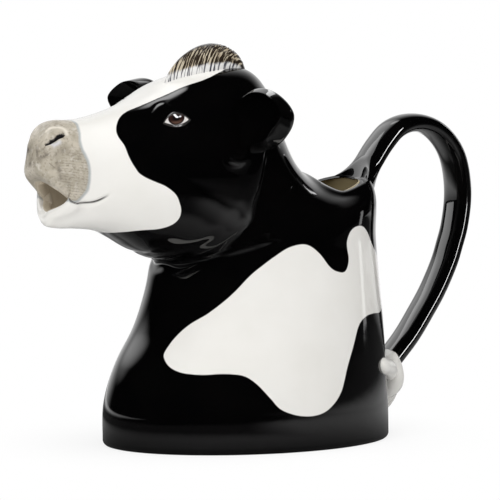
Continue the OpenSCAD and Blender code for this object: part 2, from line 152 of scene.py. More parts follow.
# The two boxes light the paint and leave no mirror image. Each other lamp is only mirrored in
# the glaze, and only on the pieces named here.
for box in ("key_box", "top_box"):
    lamps[box].visible_glossy = False
lit_pieces = {name: bpy.data.collections.new(name) for name in ("strip_pieces", "ear_pieces", "side_pieces")}
for lamp, pieces in (("right_card", "side_pieces"), ("corner_card", "side_pieces"),
                     ("strip_light", "strip_pieces"), ("side_sheet", "strip_pieces"),
                     ("rear_sheet", "ear_pieces"), ("crown_light", "ear_pieces")):
    lamps[lamp].visible_diffuse = False
    lamps[lamp].light_linking.receiver_collection = lit_pieces[pieces]

# What the glaze mirrors: the white sweep behind the jug, low down, and soft panels, each with
# its turn from the view's own direction, its height in degrees, its core and edge, and its level
glow_panels = [[0, 0, 4, 50, 1.0], [-40, 34, 5, 26, 1.9], [-24, 48, 2, 7, 2.0]]
fill_level = 0.55
white_level = 1.0
world = bpy.data.worlds.new("studio")
bpy.context.scene.world = world
world.use_nodes = True
sky = world.node_tree
sky.nodes.clear()
world_out = sky.nodes.new("ShaderNodeOutputWorld")
direction = sky.nodes.new("ShaderNodeTexCoord")
room_level = None
for turn, height, full, edge, level in glow_panels:
    heading = camera_turn + np.radians(turn)
    rise = np.radians(height)
    facing_share = add(sky, "ShaderNodeVectorMath", operation="DOT_PRODUCT")
    facing_share.inputs[1].default_value = (np.sin(heading) * np.cos(rise), np.cos(heading) * np.cos(rise),
                                            np.sin(rise))
    join(sky, direction.outputs["Generated"], facing_share.inputs[0])
    glow = ramp(sky, facing_share.outputs["Value"], np.cos(np.radians(edge)), np.cos(np.radians(full)),
                0.0, level)
    room_level = glow if room_level is None else worked(sky, "ADD", room_level, glow)


def background(level):
    """A plain background of the world at a level, which is a number or a socket."""
    node = sky.nodes.new("ShaderNodeBackground")
    put(sky, level, node.inputs["Strength"])
    return node.outputs[0]


path = sky.nodes.new("ShaderNodeLightPath")
seen_in_gloss = mixed(sky, path.outputs["Is Glossy Ray"], background(fill_level), background(room_level))
join(sky, mixed(sky, path.outputs["Is Camera Ray"], seen_in_gloss, background(white_level)),
     world_out.inputs[0])

# Floor: pale paper, white to the camera beyond the jug's own shadow
floor_half = 12.0
shadow_start = 0.03
shadow_reach = 0.085
shadow_light = 0.8
paper_colour = (0.9, 0.9, 0.9, 1)
# How bright the glaze sees the paper: ramps along the floor's X or Y, or out from the jug, from
# one distance to another in metres, with the level at each
mirror_ramps = {
    "side_rise": ("X", 0.04, 0.16, 0.0, 0.50),
    "side_fall": ("out", 0.14, 0.34, 1.0, 0.1),
    "ring_rise": ("out", 0.03, 0.12, 0.12, 0.45),
    "ring_fall": ("out", 0.13, 0.21, 1.0, 0.0),
    "ring_side": ("X", -0.03, 0.04, 0.10, 1.0),
    "ring_near": ("out", 0.065, 0.095, 1.0, 0.1),
    "behind": ("Y", 0.12, 0.40, 0.0, 1.1)}
floor_mesh = bpy.data.meshes.new("floor")
floor_mesh.from_pydata([(-floor_half, -floor_half, 0), (floor_half, -floor_half, 0),
                        (floor_half, floor_half, 0), (-floor_half, floor_half, 0)], [], [(0, 1, 2, 3)])
floor = bpy.data.objects.new("floor", floor_mesh)
bpy.context.collection.objects.link(floor)
floor_paper = new_material("floor_paper")
paper = floor_paper.node_tree
paper_place = paper.nodes.new("ShaderNodeTexCoord")
paper_side = paper.nodes.new("ShaderNodeSeparateXYZ")
join(paper, paper_place.outputs["Object"], paper_side.inputs[0])
paper_far = add(paper, "ShaderNodeVectorMath", operation="LENGTH")
join(paper, paper_place.outputs["Object"], paper_far.inputs[0])
paper_sources = {"X": paper_side.outputs["X"], "Y": paper_side.outputs["Y"],
                 "out": paper_far.outputs["Value"]}
levels = {name: ramp(paper, paper_sources[source], *span) for name, (source, *span) in mirror_ramps.items()}
side_level = worked(paper, "MULTIPLY", levels["side_rise"], levels["side_fall"])
ring_level = worked(paper, "MULTIPLY", levels["ring_rise"], levels["ring_fall"])
ring_keep = worked(paper, "MAXIMUM", levels["ring_side"], levels["ring_near"])
near_level = worked(paper, "MAXIMUM", side_level, worked(paper, "MULTIPLY", ring_level, ring_keep))
paper_path = paper.nodes.new("ShaderNodeLightPath")
paper_shade = add(paper, "ShaderNodeMix", data_type="RGBA")
paper_shade.inputs[6].default_value = paper_colour
join(paper, paper_path.outputs["Is Glossy Ray"], paper_shade.inputs[0])
join(paper, worked(paper, "MAXIMUM", near_level, levels["behind"]), paper_shade.inputs[7])
paper_diffuse = paper.nodes.new("ShaderNodeBsdfDiffuse")
join(paper, paper_shade.outputs[2], paper_diffuse.inputs["Color"])
paper_white = paper.nodes.new("ShaderNodeEmission")
paper_fade = ramp(paper, paper_far.outputs["Value"], shadow_start, shadow_reach, shadow_light, 1.0)
paper_share = worked(paper, "MULTIPLY", paper_path.outputs["Is Camera Ray"], paper_fade)
join(paper, mixed(paper, paper_share, paper_diffuse.outputs[0], paper_white.outputs[0]),
     paper.nodes["output"].inputs["Surface"])
floor.data.materials.append(floor_paper)


# Jug body: slip-cast earthenware, about 3 mm thick, dipped in glossy clear glaze
# The chest, shoulders and back wall are one casting with a flat foot. The filling hole is cut
# behind the neck and its edge is rolled. The coat is painted in black on white under the glaze.
jug_low, jug_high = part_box("body_casting")
half_length = (jug_high[0] - jug_low[0]) / 2
half_width = (jug_high[1] - jug_low[1]) / 2
rim_height = 73 * mm
throat_height = 54 * mm
head_reach = 42 * mm
head_rise = 56 * mm
head_width = 53 * mm
muzzle_width = 23.4 * mm
wall = 3 * mm
floor_thickness = 4 * mm
foot_ease = 1.2 * mm
rim_roll = 0.8 * mm

# Stations from the foot to the cut behind the cheeks: front reach, front height, back reach,
# back height and half width, as shares of the jug's own measures
body_shares = np.array([
    [1.000, 0.000, 1.000, 0.000, 1.000],
    [0.994, 0.222, 0.994, 0.164, 0.994],
    [0.910, 0.426, 0.976, 0.329, 0.963],
    [0.776, 0.611, 0.953, 0.493, 0.921],
    [0.697, 0.778, 0.926, 0.658, 0.886],
    [0.659, 0.907, 0.904, 0.822, 0.856],
    [0.652, 0.968, 0.908, 0.967, 0.838],
    [0.656, 0.981, 0.830, 0.990, 0.820],
    [0.661, 0.989, 0.629, 0.994, 0.796],
    [0.665, 0.994, 0.436, 1.030, 0.772],
    [0.672, 1.000, 0.281, 1.123, 0.748]])
# Stations of the head and the muzzle: jaw reach and rise, top reach and rise, half width,
# squareness and pull of the sides, as shares of the head's reach, rise and width, and last
# how much narrower the jaw is than the cheeks, or the top where it is below zero
head_shares = np.array([
    [0.021, 0.005, -0.902, 0.679, 0.958, 2.2, 0, -0.28],
    [0.069, 0.016, -0.819, 0.866, 0.989, 2.3, 0, -0.42],
    [0.145, 0.039, -0.664, 0.973, 0.981, 2.3, 0, -0.32],
    [0.240, 0.075, -0.414, 0.988, 0.943, 2.3, 0, -0.16],
    [0.336, 0.116, -0.164, 0.946, 0.887, 2.3, 0, -0.05],
    [0.443, 0.154, 0.050, 0.870, 0.804, 2.3, 0, 0],
    [0.550, 0.175, 0.252, 0.809, 0.691, 2.3, 0, 0],
    [0.645, 0.184, 0.443, 0.768, 0.581, 2.3, 0, 0]])
muzzle_shares = np.array([
    [0.721, 0.188, 0.598, 0.745, 1.145, 2.3, 0.000, 0.05],
    [0.796, 0.190, 0.717, 0.738, 1.051, 2.4, 0.040, 0.18],
    [0.872, 0.200, 0.812, 0.739, 1.000, 2.4, 0.180, 0.38],
    [0.898, 0.218, 0.890, 0.719, 0.940, 2.4, 0.290, 0.54],
    [0.904, 0.240, 0.955, 0.657, 0.888, 2.3, 0.400, 0.62],
    [0.900, 0.257, 0.988, 0.570, 0.845, 2.2, 0.450, 0.65],
    [0.890, 0.269, 0.992, 0.484, 0.810, 2.0, 0.425, 0.64],
    [0.880, 0.277, 0.925, 0.434, 0.710, 1.7, 0.365, 0.62]])
throat_x = -body_shares[-1, 0] * half_length
# The rings are round up to the cut, where they are a little squarer and wider at the top
round_power = 2.0
cut_power = 2.1
cut_narrowing_share = -0.10


def head_rows(shares, half):
    """Shares of the head or the muzzle as real stations."""
    return np.column_stack([
        throat_x - shares[:, 0] * head_reach, throat_height + shares[:, 1] * head_rise,
        throat_x - shares[:, 2] * head_reach, throat_height + shares[:, 3] * head_rise,
        shares[:, 4] * half, shares[:, 5], shares[:, 6] * half, shares[:, 7]])


cut_station = len(body_shares) - 1
at_cut = np.arange(len(body_shares)) == cut_station
stations = np.vstack([
    np.column_stack([-body_shares[:, 0] * half_length, body_shares[:, 1] * throat_height,
                     body_shares[:, 2] * half_length, body_shares[:, 3] * rim_height,
                     body_shares[:, 4] * half_width, np.where(at_cut, cut_power, round_power),
                     np.zeros(len(body_shares)), np.where(at_cut, cut_narrowing_share, 0.0)]),
    head_rows(head_shares, head_width / 2), head_rows(muzzle_shares, muzzle_width / 2)])
mouth_station = len(stations) - 1


def smooth_rows(table, t):
    """Values of a table between its rows, on the cubic through the four nearest rows."""
    t = np.asarray(t, float)
    last = len(table) - 1
    i = np.clip(np.floor(t).astype(int), 0, last - 1)
    f = (t - i)[..., None]
    b = table[i]
    c = table[i + 1]
    a = np.where((i > 0)[..., None], table[np.maximum(i - 1, 0)], 2 * b - c)
    d = np.where((i < last - 1)[..., None], table[np.minimum(i + 2, last)], 2 * c - b)
    return (2 * b + (c - a) * f + (2 * a - 5 * b + 4 * c - d) * f ** 2
            + (3 * b - a - 3 * c + d) * f ** 3) / 2


def signed_power(value, power):
    """The size of a value raised to a power, with the value's sign."""
    return np.sign(value) * np.abs(value) ** power


# The corners of the mouth are pulled back and down
corner_drop = 0.5


def plain_skin(t, angle, inset=0.0):
    """Points of the cast form: at station t, an ellipse squared off by its exponent, from the
    chest or jaw (180 degrees) to the back or top (0), with the cow's left side at 90."""
    s = smooth_rows(stations, t)
    front = s[..., 0:2]
    back = s[..., 2:4]
    middle = (front + back) / 2
    half = (back - front) / 2
    reach = np.linalg.norm(half, axis=-1)
    unit = half / reach[..., None]
    ahead = np.stack([-unit[..., 1], unit[..., 0]], axis=-1)
    turn = np.radians(np.asarray(angle, float))
    power = 2 / s[..., 5]
    a = signed_power(np.cos(turn), power)
    b = signed_power(np.sin(turn), power)
    pull = s[..., 6] * np.sin(turn) ** 4
    flat = middle + unit * (a * (reach - inset))[..., None] - ahead * pull[..., None]
    flat[..., 1] -= corner_drop * pull
    jaw = (1 - np.cos(turn)) / 2
    side = 1 - np.maximum(s[..., 7], 0) * jaw ** 3 + np.minimum(s[..., 7], 0) * (1 - jaw) ** 3
    return np.stack([flat[..., 0], -b * (s[..., 4] - inset) * side, flat[..., 1]], axis=-1)


def core(t):
    """The middle of each station's ring."""
    s = smooth_rows(stations, t)
    return np.stack([(s[..., 0] + s[..., 2]) / 2, np.zeros(np.shape(t)), (s[..., 1] + s[..., 3]) / 2], -1)


def hump(distance, radius):
    """A smooth bell of height one that falls off over a radius."""
    return np.exp(-(distance / radius) ** 2)


def eased(value):
    """A value held between zero and one, with a soft start and end."""
    f = np.clip(value, 0, 1)
    return f ** 2 * (3 - 2 * f)


def mirrored(points):
    """Each point on the cow's left side, or its mirror image there."""
    return np.stack([points[..., 0], -np.abs(points[..., 1]), points[..., 2]], -1)


def curve_gap(points, line):
    """The distance of each point to a line of points, and how far along the line it lies."""
    best = np.full(points.shape[:-1], np.inf)
    where = np.zeros(points.shape[:-1])
    count = len(line) - 1
    for i in range(count):
        along = line[i + 1] - line[i]
        f = np.clip(((points - line[i]) @ along) / (along @ along), 0, 1)
        gap = np.linalg.norm(points - line[i] - f[..., None] * along, axis=-1)
        where = np.where(gap < best, (i + f) / count, where)
        best = np.minimum(best, gap)
    return best, where


def open_curve(places, steps=12):
    """A smooth line through a few places, each a station and an angle."""
    table = np.array(places, float)
    return smooth_rows(table, np.linspace(0, len(table) - 1, (len(table) - 1) * steps + 1))


def closed_curve(places, steps=8):
    """A smooth closed line through a few places."""
    table = np.array(places, float)
    ring = np.vstack([table[-1], table, table[:2]])
    return smooth_rows(ring, np.linspace(1, len(table) + 1, len(table) * steps + 1))


def inside(t, angle, outline):
    """Whether each place lies in a closed outline: an odd number of its edges is crossed."""
    odd = np.zeros(np.shape(t), bool)
    for (t0, a0), (t1, a1) in zip(outline[:-1], outline[1:]):
        if a0 != a1:
            crossed = (angle >= min(a0, a1)) & (angle < max(a0, a1))
            odd ^= crossed & (t < t0 + (angle - a0) * (t1 - t0) / (a1 - a0))
    return odd


# Relief of the face: places are a station and an angle on the skin
eye_place = (15.98, 55)
brow_place = (15.5, 36)
temple_place = (13.8, 47)
cheek_place = (14.3, 104)
nose_place = (23.2, 44)
jaw_places = ((20.9, 114), (21.8, 124), (22.5, 134))
eye_point = plain_skin(*eye_place)
nose_point = plain_skin(*nose_place)
jaw_line = plain_skin(*np.array(jaw_places).T)
edge_points = 25
mouth_edge = plain_skin(np.full(edge_points, float(mouth_station)), np.linspace(0, 180, edge_points))
crease_line = plain_skin(*open_curve([(6.2, 180), (5.8, 160), (8.4, 136), (9.5, 120), (10.1, 101),
                                      (10.8, 90), (11.4, 76), (11.9, 60)]).T)
fold_line = plain_skin(*open_curve([(13.0, 180), (12.9, 166), (12.25, 148), (11.2, 132), (10.0, 120)]).T)
mouth_line = plain_skin(*open_curve([(21.7, 107.5), (20.94, 111.2), (20.34, 114.5), (19.76, 116.5),
                                     (19.2, 116.8), (18.66, 114.5), (18.26, 110.2), (18.04, 106.8)]).T)
nostril_line = plain_skin(*open_curve([(22.96, 26.2), (22.68, 32.0), (22.38, 35.8), (22.04, 38.0),
                                       (21.7, 39.8)]).T)
root_line = plain_skin(*open_curve([(13.9, 80), (13.75, 85), (13.4, 88), (13.0, 88), (12.6, 85)]).T)
brow_line = plain_skin(*open_curve([(16.75, 34), (16.45, 27), (16.22, 28), (16.12, 34), (15.95, 37)]).T)
# Swells at a place: height and radius in millimetres
face_swells = [(plain_skin(*place), height * mm, radius * mm) for place, height, radius in (
    (eye_place, 0.9, 5.6), (brow_place, 0.9, 6.5), (temple_place, 0.7, 4.0), (cheek_place, 1.1, 13.0))]
# Swells and grooves along a line, and hollows: height, below zero where it is cut in, and radius
line_relief = {
    "nose": (-1.3, 4.2), "jaw": (-3.0, 3.6), "crease": (-1.1, 1.9), "fold": (-0.35, 1.6), "lips": (0.35, 2.4),
    "mouth": (-0.75, 0.6), "nostril": (0.45, 2.3), "slit": (-1.5, 0.6), "root": (1.5, 1.3),
    "wrinkle": (-0.20, 0.5)}
# The hollows start this far from the mouth's edge, and are whole this much further on
mouth_margin = 2.5 * mm
margin_fade = 3.5 * mm
# The mouth's groove comes in and dies out over these shares of its length
groove_in_share = 0.25
groove_out_share = 1 / 3
groove_end_share = 1.05
# The ear's root swells along this span of its line
root_start_share = 0.05
root_span_share = 0.9
# Eye: the lids are two bows over a ball, with a ridge along them and a groove beyond
lid_front = plain_skin(16.32, 53.8)
lid_rear = plain_skin(15.5, 60.6)
eye_along = (lid_rear - lid_front) / np.linalg.norm(lid_rear - lid_front)
eye_out = eye_point - core(eye_place[0])
eye_out -= eye_along * (eye_out @ eye_along)
eye_out /= np.linalg.norm(eye_out)
eye_up = np.cross(eye_along, eye_out)
eye_up *= np.sign(eye_up[2])
eye_half_long = 3.5 * mm
eye_half_high = 2.25 * mm
eye_middle = (lid_front + lid_rear) / 2
eye_reach = 12 * mm
lid_run = 1.6
upper_lean = 0.25
lower_share = 0.70
lower_lean = 0.15
ball_height = 0.75 * mm
ball_taper = 0.8
ball_roundness = 1.5
ridge_height = 0.45 * mm
ridge_place = 0.45 * mm
groove_height = 0.3 * mm
groove_place = 1.45 * mm
ridge_radius = 0.4 * mm
ridge_reach = 4.6 * mm


def relief(name, gap):
    """The swell or groove of one kind at a gap from its line."""
    height, radius = line_relief[name]
    return height * mm * hump(gap, radius * mm)


def eye_frame(points):
    """Each point's place in the eye's own plane: along the lids, up and out, in metres."""
    near = mirrored(points) - eye_middle
    return near @ eye_along, near @ eye_up, near @ eye_out


def almond(along, up):
    """A signed size of the gap to the lids: below zero between them, above zero outside."""
    f = np.clip(along / eye_half_long, -lid_run, lid_run)
    high = eye_half_high * (1 - f ** 2) * (1 - upper_lean * f)
    low = -eye_half_high * lower_share * (1 - f ** 2) * (1 + lower_lean * f)
    return np.maximum(up - high, low - up)


def face_relief(points):
    """How far the skin stands out at each point: swells of eyes, brows and cheeks, and of the
    skin beside the mouth and nostrils, less the grooves of creases, mouth, nostrils and lids."""
    near = mirrored(points)
    out = sum(height * hump(np.linalg.norm(near - point, axis=-1), radius)
              for point, height, radius in face_swells)
    hollows = (relief("nose", np.linalg.norm(near - nose_point, axis=-1))
               + relief("jaw", curve_gap(near, jaw_line)[0]))
    out += hollows * eased((curve_gap(near, mouth_edge)[0] - mouth_margin) / margin_fade)
    out += relief("crease", curve_gap(near, crease_line)[0])
    fold, fold_at = curve_gap(near, fold_line)
    out += relief("fold", fold) * (1 - fold_at ** 2)
    mouth, mouth_at = curve_gap(near, mouth_line)
    mouth_in = (np.clip(mouth_at / groove_in_share, 0, 1)
                * np.clip((groove_end_share - mouth_at) / groove_out_share, 0, 1))
    out += (relief("lips", mouth) + relief("mouth", mouth)) * mouth_in
    slit, _ = curve_gap(near, nostril_line)
    out += relief("nostril", slit) + relief("slit", slit)
    along, up, _ = eye_frame(points)
    lids = almond(along, up)
    far = np.linalg.norm(near - eye_middle, axis=-1) > eye_reach
    ball = ball_height * np.clip(1 - (along / eye_half_long) ** 2 * ball_taper
                                 - (up / eye_half_high / ball_roundness) ** 2, 0, 1)
    ridge = (ridge_height * hump(lids - ridge_place, ridge_radius)
             - groove_height * hump(lids - groove_place, ridge_radius))
    out += np.where(far, 0, np.where(lids < 0, ball, 0) + ridge * hump(along, ridge_reach))
    root, root_at = curve_gap(near, root_line)
    out += relief("root", root) * np.sin(np.pi * (root_at * root_span_share + root_start_share))
    return out + relief("wrinkle", curve_gap(near, brow_line)[0])


# The filling hole, in stations and degrees
hole_middle = 7.75
hole_half_stations = 1.3
hole_half_angle = 27.0
hole_spread = 1.55
hole_core = 0.5
rim_fade = 0.2
# The rim's rise towards the tail, and its small swell towards the neck
rim_lift = 3.2 * mm
lift_overlap = 0.35
lift_fade = 0.6
neck_swell = 1.3 * mm
neck_gap = 0.1
neck_ring = 1.05
neck_fade = 0.4


def skin(t, angle, inset=0.0):
    """The cast form with its relief, and with the rolled rim round the filling hole."""
    points = plain_skin(t, angle, inset)
    outward = points - core(t)
    outward /= np.linalg.norm(outward, axis=-1)[..., None]
    turned = np.where(np.asarray(angle) > 180, np.asarray(angle) - 360, angle)
    ring = np.hypot((t - hole_middle) / hole_half_stations, turned / hole_half_angle)
    points = points + outward * face_relief(points)[..., None]
    points[..., 2] += rim_roll * hump(ring - 1, rim_fade)
    towards_tail = (hole_middle - t) / hole_half_stations / np.maximum(ring, hole_core)
    risen = eased((towards_tail + lift_overlap) / (1 + lift_overlap))
    points[..., 2] += rim_lift * risen * hump(ring - 1, lift_fade)
    towards_neck = np.clip(-(towards_tail + neck_gap), 0, 1)
    points[..., 2] += neck_swell * towards_neck * hump(ring - neck_ring, neck_fade)
    return points


def dense(low, high, count, thick, steps=4000):
    """Places from low to high, closer together where the density, a function, is greater."""
    fine = np.linspace(low, high, steps + 1)
    total = np.concatenate([[0], np.cumsum((thick(fine[1:]) + thick(fine[:-1])) / 2)])
    return np.interp(np.linspace(0, total[-1], count), total, fine)


# Round the form: 240 columns, closer together at the eyes, and two at the hole's sides
half_columns = 120
eye_column = 54
eye_crowding = 1.6
eye_spread = 10.0
half_turn = dense(0, 180, half_columns + 1, lambda a: 1 + eye_crowding * hump(a - eye_column, eye_spread))
side_columns = int(np.argmin(np.abs(half_turn - hole_half_angle)))
half_turn[side_columns] = hole_half_angle
columns = np.concatenate([half_turn, -half_turn[-2:0:-1]])
around = len(columns)


def drawn(row, angle):
    """Near the hole the square grid is drawn into ovals, which fade out to squares."""
    q = angle / hole_half_angle
    square = np.maximum(np.abs(row), np.abs(q))
    keep = eased((square - 1) / (hole_spread - 1))
    round_size = np.hypot(row, q)
    pull = np.divide(square, round_size, out=np.ones_like(square), where=round_size > 0)
    plain_t = hole_middle + hole_half_stations * row
    oval_t = hole_middle + hole_half_stations * row * pull
    oval_angle = hole_half_angle * q * pull
    return oval_t + (plain_t - oval_t) * keep, oval_angle + (angle - oval_angle) * keep


def jug_grid(first, wall_rows, hole_rows, last_rows, inset):
    """Rows of the jug's skin: the foot's or floor's easing, the wall, the hole and the shoulder."""
    eased_rows = [skin(np.full(around, t), columns, inset + ease) for t, ease in first]
    plain = skin(*np.meshgrid(wall_rows, columns, indexing="ij"), inset)
    rows, angles = np.meshgrid(hole_rows, columns, indexing="ij")
    t, angle = drawn(rows, angles)
    holed = skin(t, angle, inset)
    end = skin(*np.meshgrid(last_rows, columns, indexing="ij"), inset)
    t_all = np.concatenate([np.repeat([p[0] for p in first], around),
                            np.repeat(wall_rows, around), t.ravel(), np.repeat(last_rows, around)])
    angle_all = np.concatenate([np.tile(columns, len(first) + len(wall_rows)), angle.ravel(),
                                np.tile(columns, len(last_rows))])
    points = np.concatenate([np.array(eased_rows), plain, holed, end])
    return points, t_all.reshape(-1, around), angle_all.reshape(-1, around)


def grid_quads(rows, count, start=0):
    """Quads between the rings of a grid, as rows and columns of four corners. Each ring closes
    on itself."""
    r, c = np.meshgrid(np.arange(rows - 1), np.arange(count), indexing="ij")
    after = (c + 1) % count
    return start + np.stack([r * count + c, (r + 1) * count + c, (r + 1) * count + after,
                             r * count + after], -1)


def make_piece(name, points, faces, materials, face_slots=None, attributes=None):
    """A smooth mesh object from arrays of points and quads, with its materials and values."""
    mesh = bpy.data.meshes.new(name)
    mesh.from_pydata(points.tolist(), [], [tuple(f) for f in faces.tolist()])
    mesh.shade_smooth()
    for material in materials:
        mesh.materials.append(material)
    if face_slots is not None:
        mesh.polygons.foreach_set("material_index", np.asarray(face_slots, np.int32))
    for key, values in (attributes or {}).items():
        layer = mesh.attributes.new(key, "FLOAT", "POINT")
        layer.data.foreach_set("value", np.ascontiguousarray(values, np.float32))
    mesh.update()
    piece = bpy.data.objects.new(name, mesh)
    bpy.context.collection.objects.link(piece)
    return piece


# The coat's white patches, as outlines of stations and angles on the skin
flank_patch = closed_curve([
    (2.55, 159), (2.95, 157), (3.35, 151), (3.7, 142), (4.25, 132), (4.95, 122), (5.5, 112), (5.8, 104),
    (5.72, 96), (5.2, 88), (4.68, 82), (4.48, 77), (4.45, 72), (4.75, 69), (5.3, 70), (5.62, 66),
    (5.58, 58), (5.25, 50), (4.8, 42), (4.4, 30), (3.9, 22), (3.4, 24), (3.15, 38), (3.18, 50),
    (3.15, 58), (2.95, 64), (2.4, 68), (1.95, 71), (1.4, 74), (1.05, 79), (0.88, 85), (0.88, 93),
    (1.05, 101), (1.35, 106), (1.7, 112), (1.93, 118), (2.0, 126), (1.98, 136), (2.02, 145),
    (2.15, 152), (2.35, 157)])
far_patch = closed_curve([
    (1.5, -58), (2.4, -48), (3.3, -50), (4.3, -58), (5.1, -72), (5.7, -88), (5.5, -103), (4.7, -110),
    (4.3, -122), (3.7, -134), (2.9, -140), (2.2, -132), (2.0, -118), (1.6, -106), (1.05, -96), (0.9, -76)])
face_near = [
    (12.9, 0), (13.25, 7), (13.7, 12), (14.1, 19), (14.55, 23.5), (15.05, 24), (15.75, 20), (16.3, 17.5),
    (16.85, 16.5), (17.3, 17), (17.65, 22), (17.95, 32), (18.12, 44), (18.08, 54), (17.85, 65), (17.6, 78),
    (17.25, 88), (16.8, 94), (16.25, 99), (15.7, 103), (15.05, 109), (14.62, 115), (14.32, 120),
    (14.15, 126), (14.22, 132), (14.6, 139), (15.35, 148), (15.95, 162), (16.25, 174), (16.3, 180)]
face_far = [
    (12.9, 0), (13.1, -8), (13.35, -18), (13.7, -28), (14.3, -36), (15.0, -40), (15.8, -39), (16.6, -36),
    (17.3, -36), (17.8, -42), (18.05, -54), (17.8, -67), (17.45, -80), (16.95, -92), (16.3, -101),
    (15.5, -108), (14.8, -116), (14.35, -124), (14.25, -134), (14.7, -143), (15.5, -153), (16.1, -165),
    (16.3, -180)]


# Places on the seam count as just short of it, and the face's patches go on past the mouth
edge_turn = 179.9
past_mouth = 2


def patch_depth(points, t, angle, outline, closed_by=()):
    """Distance in millimetres to a patch's edge on the plain form: above zero inside it."""
    edge = plain_skin(outline[:, 0], outline[:, 1])
    gap, _ = curve_gap(points, edge)
    ring = np.vstack([outline, *closed_by]) if len(closed_by) else outline
    return np.where(inside(t, angle, ring), gap, -gap) / mm


def white_depth(t, angle):
    """How deep each place lies in the white of the coat, over all its patches."""
    points = plain_skin(t, angle)
    best = patch_depth(points, t, angle, flank_patch)
    best = np.maximum(best, patch_depth(points, t, angle, far_patch))
    beyond = mouth_station + past_mouth
    angle = np.clip(angle, -edge_turn, edge_turn)
    for places, side in ((face_near, 180), (face_far, -180)):
        outline = open_curve(places, steps=6)
        closing = np.array([[beyond, side], [beyond, 0], places[0]])
        best = np.maximum(best, patch_depth(points, t, angle, outline, [closing]))
    return best


# Glaze: noise of two sizes, a metre, sets its gloss and its fine waves
wave_grain = 90.0
pit_grain = 1400.0
pit_share = 0.02
gloss_floor = 0.045
glaze_ior = 1.5
glaze_coat = 0.25
coat_gloss = 0.02


def glaze_group():
    """Clear glaze as a fired surface: fine unevenness of the gloss and of the surface."""
    group = bpy.data.node_groups.new("clear_glaze", "ShaderNodeTree")
    group.interface.new_socket("Wave Height", in_out="INPUT", socket_type="NodeSocketFloat")
    group.interface.new_socket("Gloss Spread", in_out="INPUT", socket_type="NodeSocketFloat")
    group.interface.new_socket("Roughness", in_out="OUTPUT", socket_type="NodeSocketFloat")
    group.interface.new_socket("Normal", in_out="OUTPUT", socket_type="NodeSocketVector")
    start = group.nodes.new("NodeGroupInput")
    end = group.nodes.new("NodeGroupOutput")
    place = group.nodes.new("ShaderNodeTexCoord")
    slow = add(group, "ShaderNodeTexNoise", scale=wave_grain, detail=2.0)
    fine = add(group, "ShaderNodeTexNoise", scale=pit_grain, detail=1.0)
    join(group, place.outputs["Object"], slow.inputs["Vector"])
    join(group, place.outputs["Object"], fine.inputs["Vector"])
    spread = worked(group, "MULTIPLY_ADD", slow.outputs["Fac"], start.outputs["Gloss Spread"], gloss_floor)
    heights = worked(group, "MULTIPLY_ADD", fine.outputs["Fac"], pit_share, slow.outputs["Fac"])
    bump = add(group, "ShaderNodeBump", distance=1.0)
    bump.inputs["Strength"].default_value = 1.0
    join(group, worked(group, "MULTIPLY", heights, start.outputs["Wave Height"]), bump.inputs["Height"])
    join(group, spread, end.inputs["Roughness"])
    join(group, bump.outputs[0], end.inputs["Normal"])
    return group


clear_glaze = glaze_group()
black_paint = (0.0009, 0.0009, 0.0010, 1)
black_thin = (0.0018, 0.0016, 0.0016, 1)
black_grain = (80.0, 0.35, 0.75)
white_paint = (0.84, 0.825, 0.79, 1)
white_thin = (0.80, 0.785, 0.745, 1)
white_grain = (60.0, 0.3, 0.7)
# Where the coat's white starts and is full, in millimetres into the patch, and its waver
coat_edge = (-0.10, 0.16, 0.12)


def glazed(material, wave=0.00006, spread=0.03):
    """A glossy glazed surface: returns the material's tree and its shader."""
    tree = material.node_tree
    shader = tree.nodes.new("ShaderNodeBsdfPrincipled")
    shader.inputs["IOR"].default_value = glaze_ior
    shader.inputs["Coat Weight"].default_value = glaze_coat
    shader.inputs["Coat Roughness"].default_value = coat_gloss
    surface = tree.nodes.new("ShaderNodeGroup")
    surface.node_tree = clear_glaze
    surface.inputs["Wave Height"].default_value = wave
    surface.inputs["Gloss Spread"].default_value = spread
    join(tree, surface.outputs["Roughness"], shader.inputs["Roughness"])
    join(tree, surface.outputs["Normal"], shader.inputs["Normal"])
    join(tree, shader.outputs[0], tree.nodes["output"].inputs["Surface"])
    return tree, shader


def blend(tree, mask, below, above):
    """A colour that goes from one to another by a mask: sockets, or plain colours."""
    mix = add(tree, "ShaderNodeMix", data_type="RGBA")
    for socket, value in ((0, mask), (6, below), (7, above)):
        put(tree, value, mix.inputs[socket])
    return mix.outputs[2]


def stored(tree, name):
    """A value stored on the mesh."""
    return add(tree, "ShaderNodeAttribute", attribute_name=name).outputs["Fac"]


def grain_noise(tree, scale, detail):
    """Plain noise in the piece's own space, with its scale given per metre."""
    place = tree.nodes.new("ShaderNodeTexCoord")
    noise = add(tree, "ShaderNodeTexNoise", scale=scale, detail=detail)
    join(tree, place.outputs["Object"], noise.inputs["Vector"])
    return noise.outputs["Fac"]


def edge_mask(tree, name, low, high, wobble=0.0, wobble_scale=300.0):
    """A mask from a value stored on the mesh, zero below low and one above high, in
    millimetres; a wobble gives the edge the waver of a brush."""
    value = stored(tree, name)
    if wobble:
        value = worked(tree, "MULTIPLY_ADD", grain_noise(tree, wobble_scale, 2.0), wobble, value)
    return ramp(tree, value, low, high)


def mottled(tree, scale, low, high):
    """A soft noise mask in the piece's own space, stretched between two levels."""
    return ramp(tree, grain_noise(tree, scale, 3.0), low, high, soft=False)


def coat_colour(tree):
    """Black and white of the coat: a brushed edge, and faint unevenness in each paint."""
    white = blend(tree, mottled(tree, *white_grain), white_paint, white_thin)
    black = blend(tree, mottled(tree, *black_grain), black_paint, black_thin)
    return blend(tree, edge_mask(tree, "white_depth", *coat_edge), black, white)


coat_paint = new_material("coat_paint")
coat_tree, coat_shader = glazed(coat_paint)
join(coat_tree, coat_colour(coat_tree), coat_shader.inputs["Base Color"])


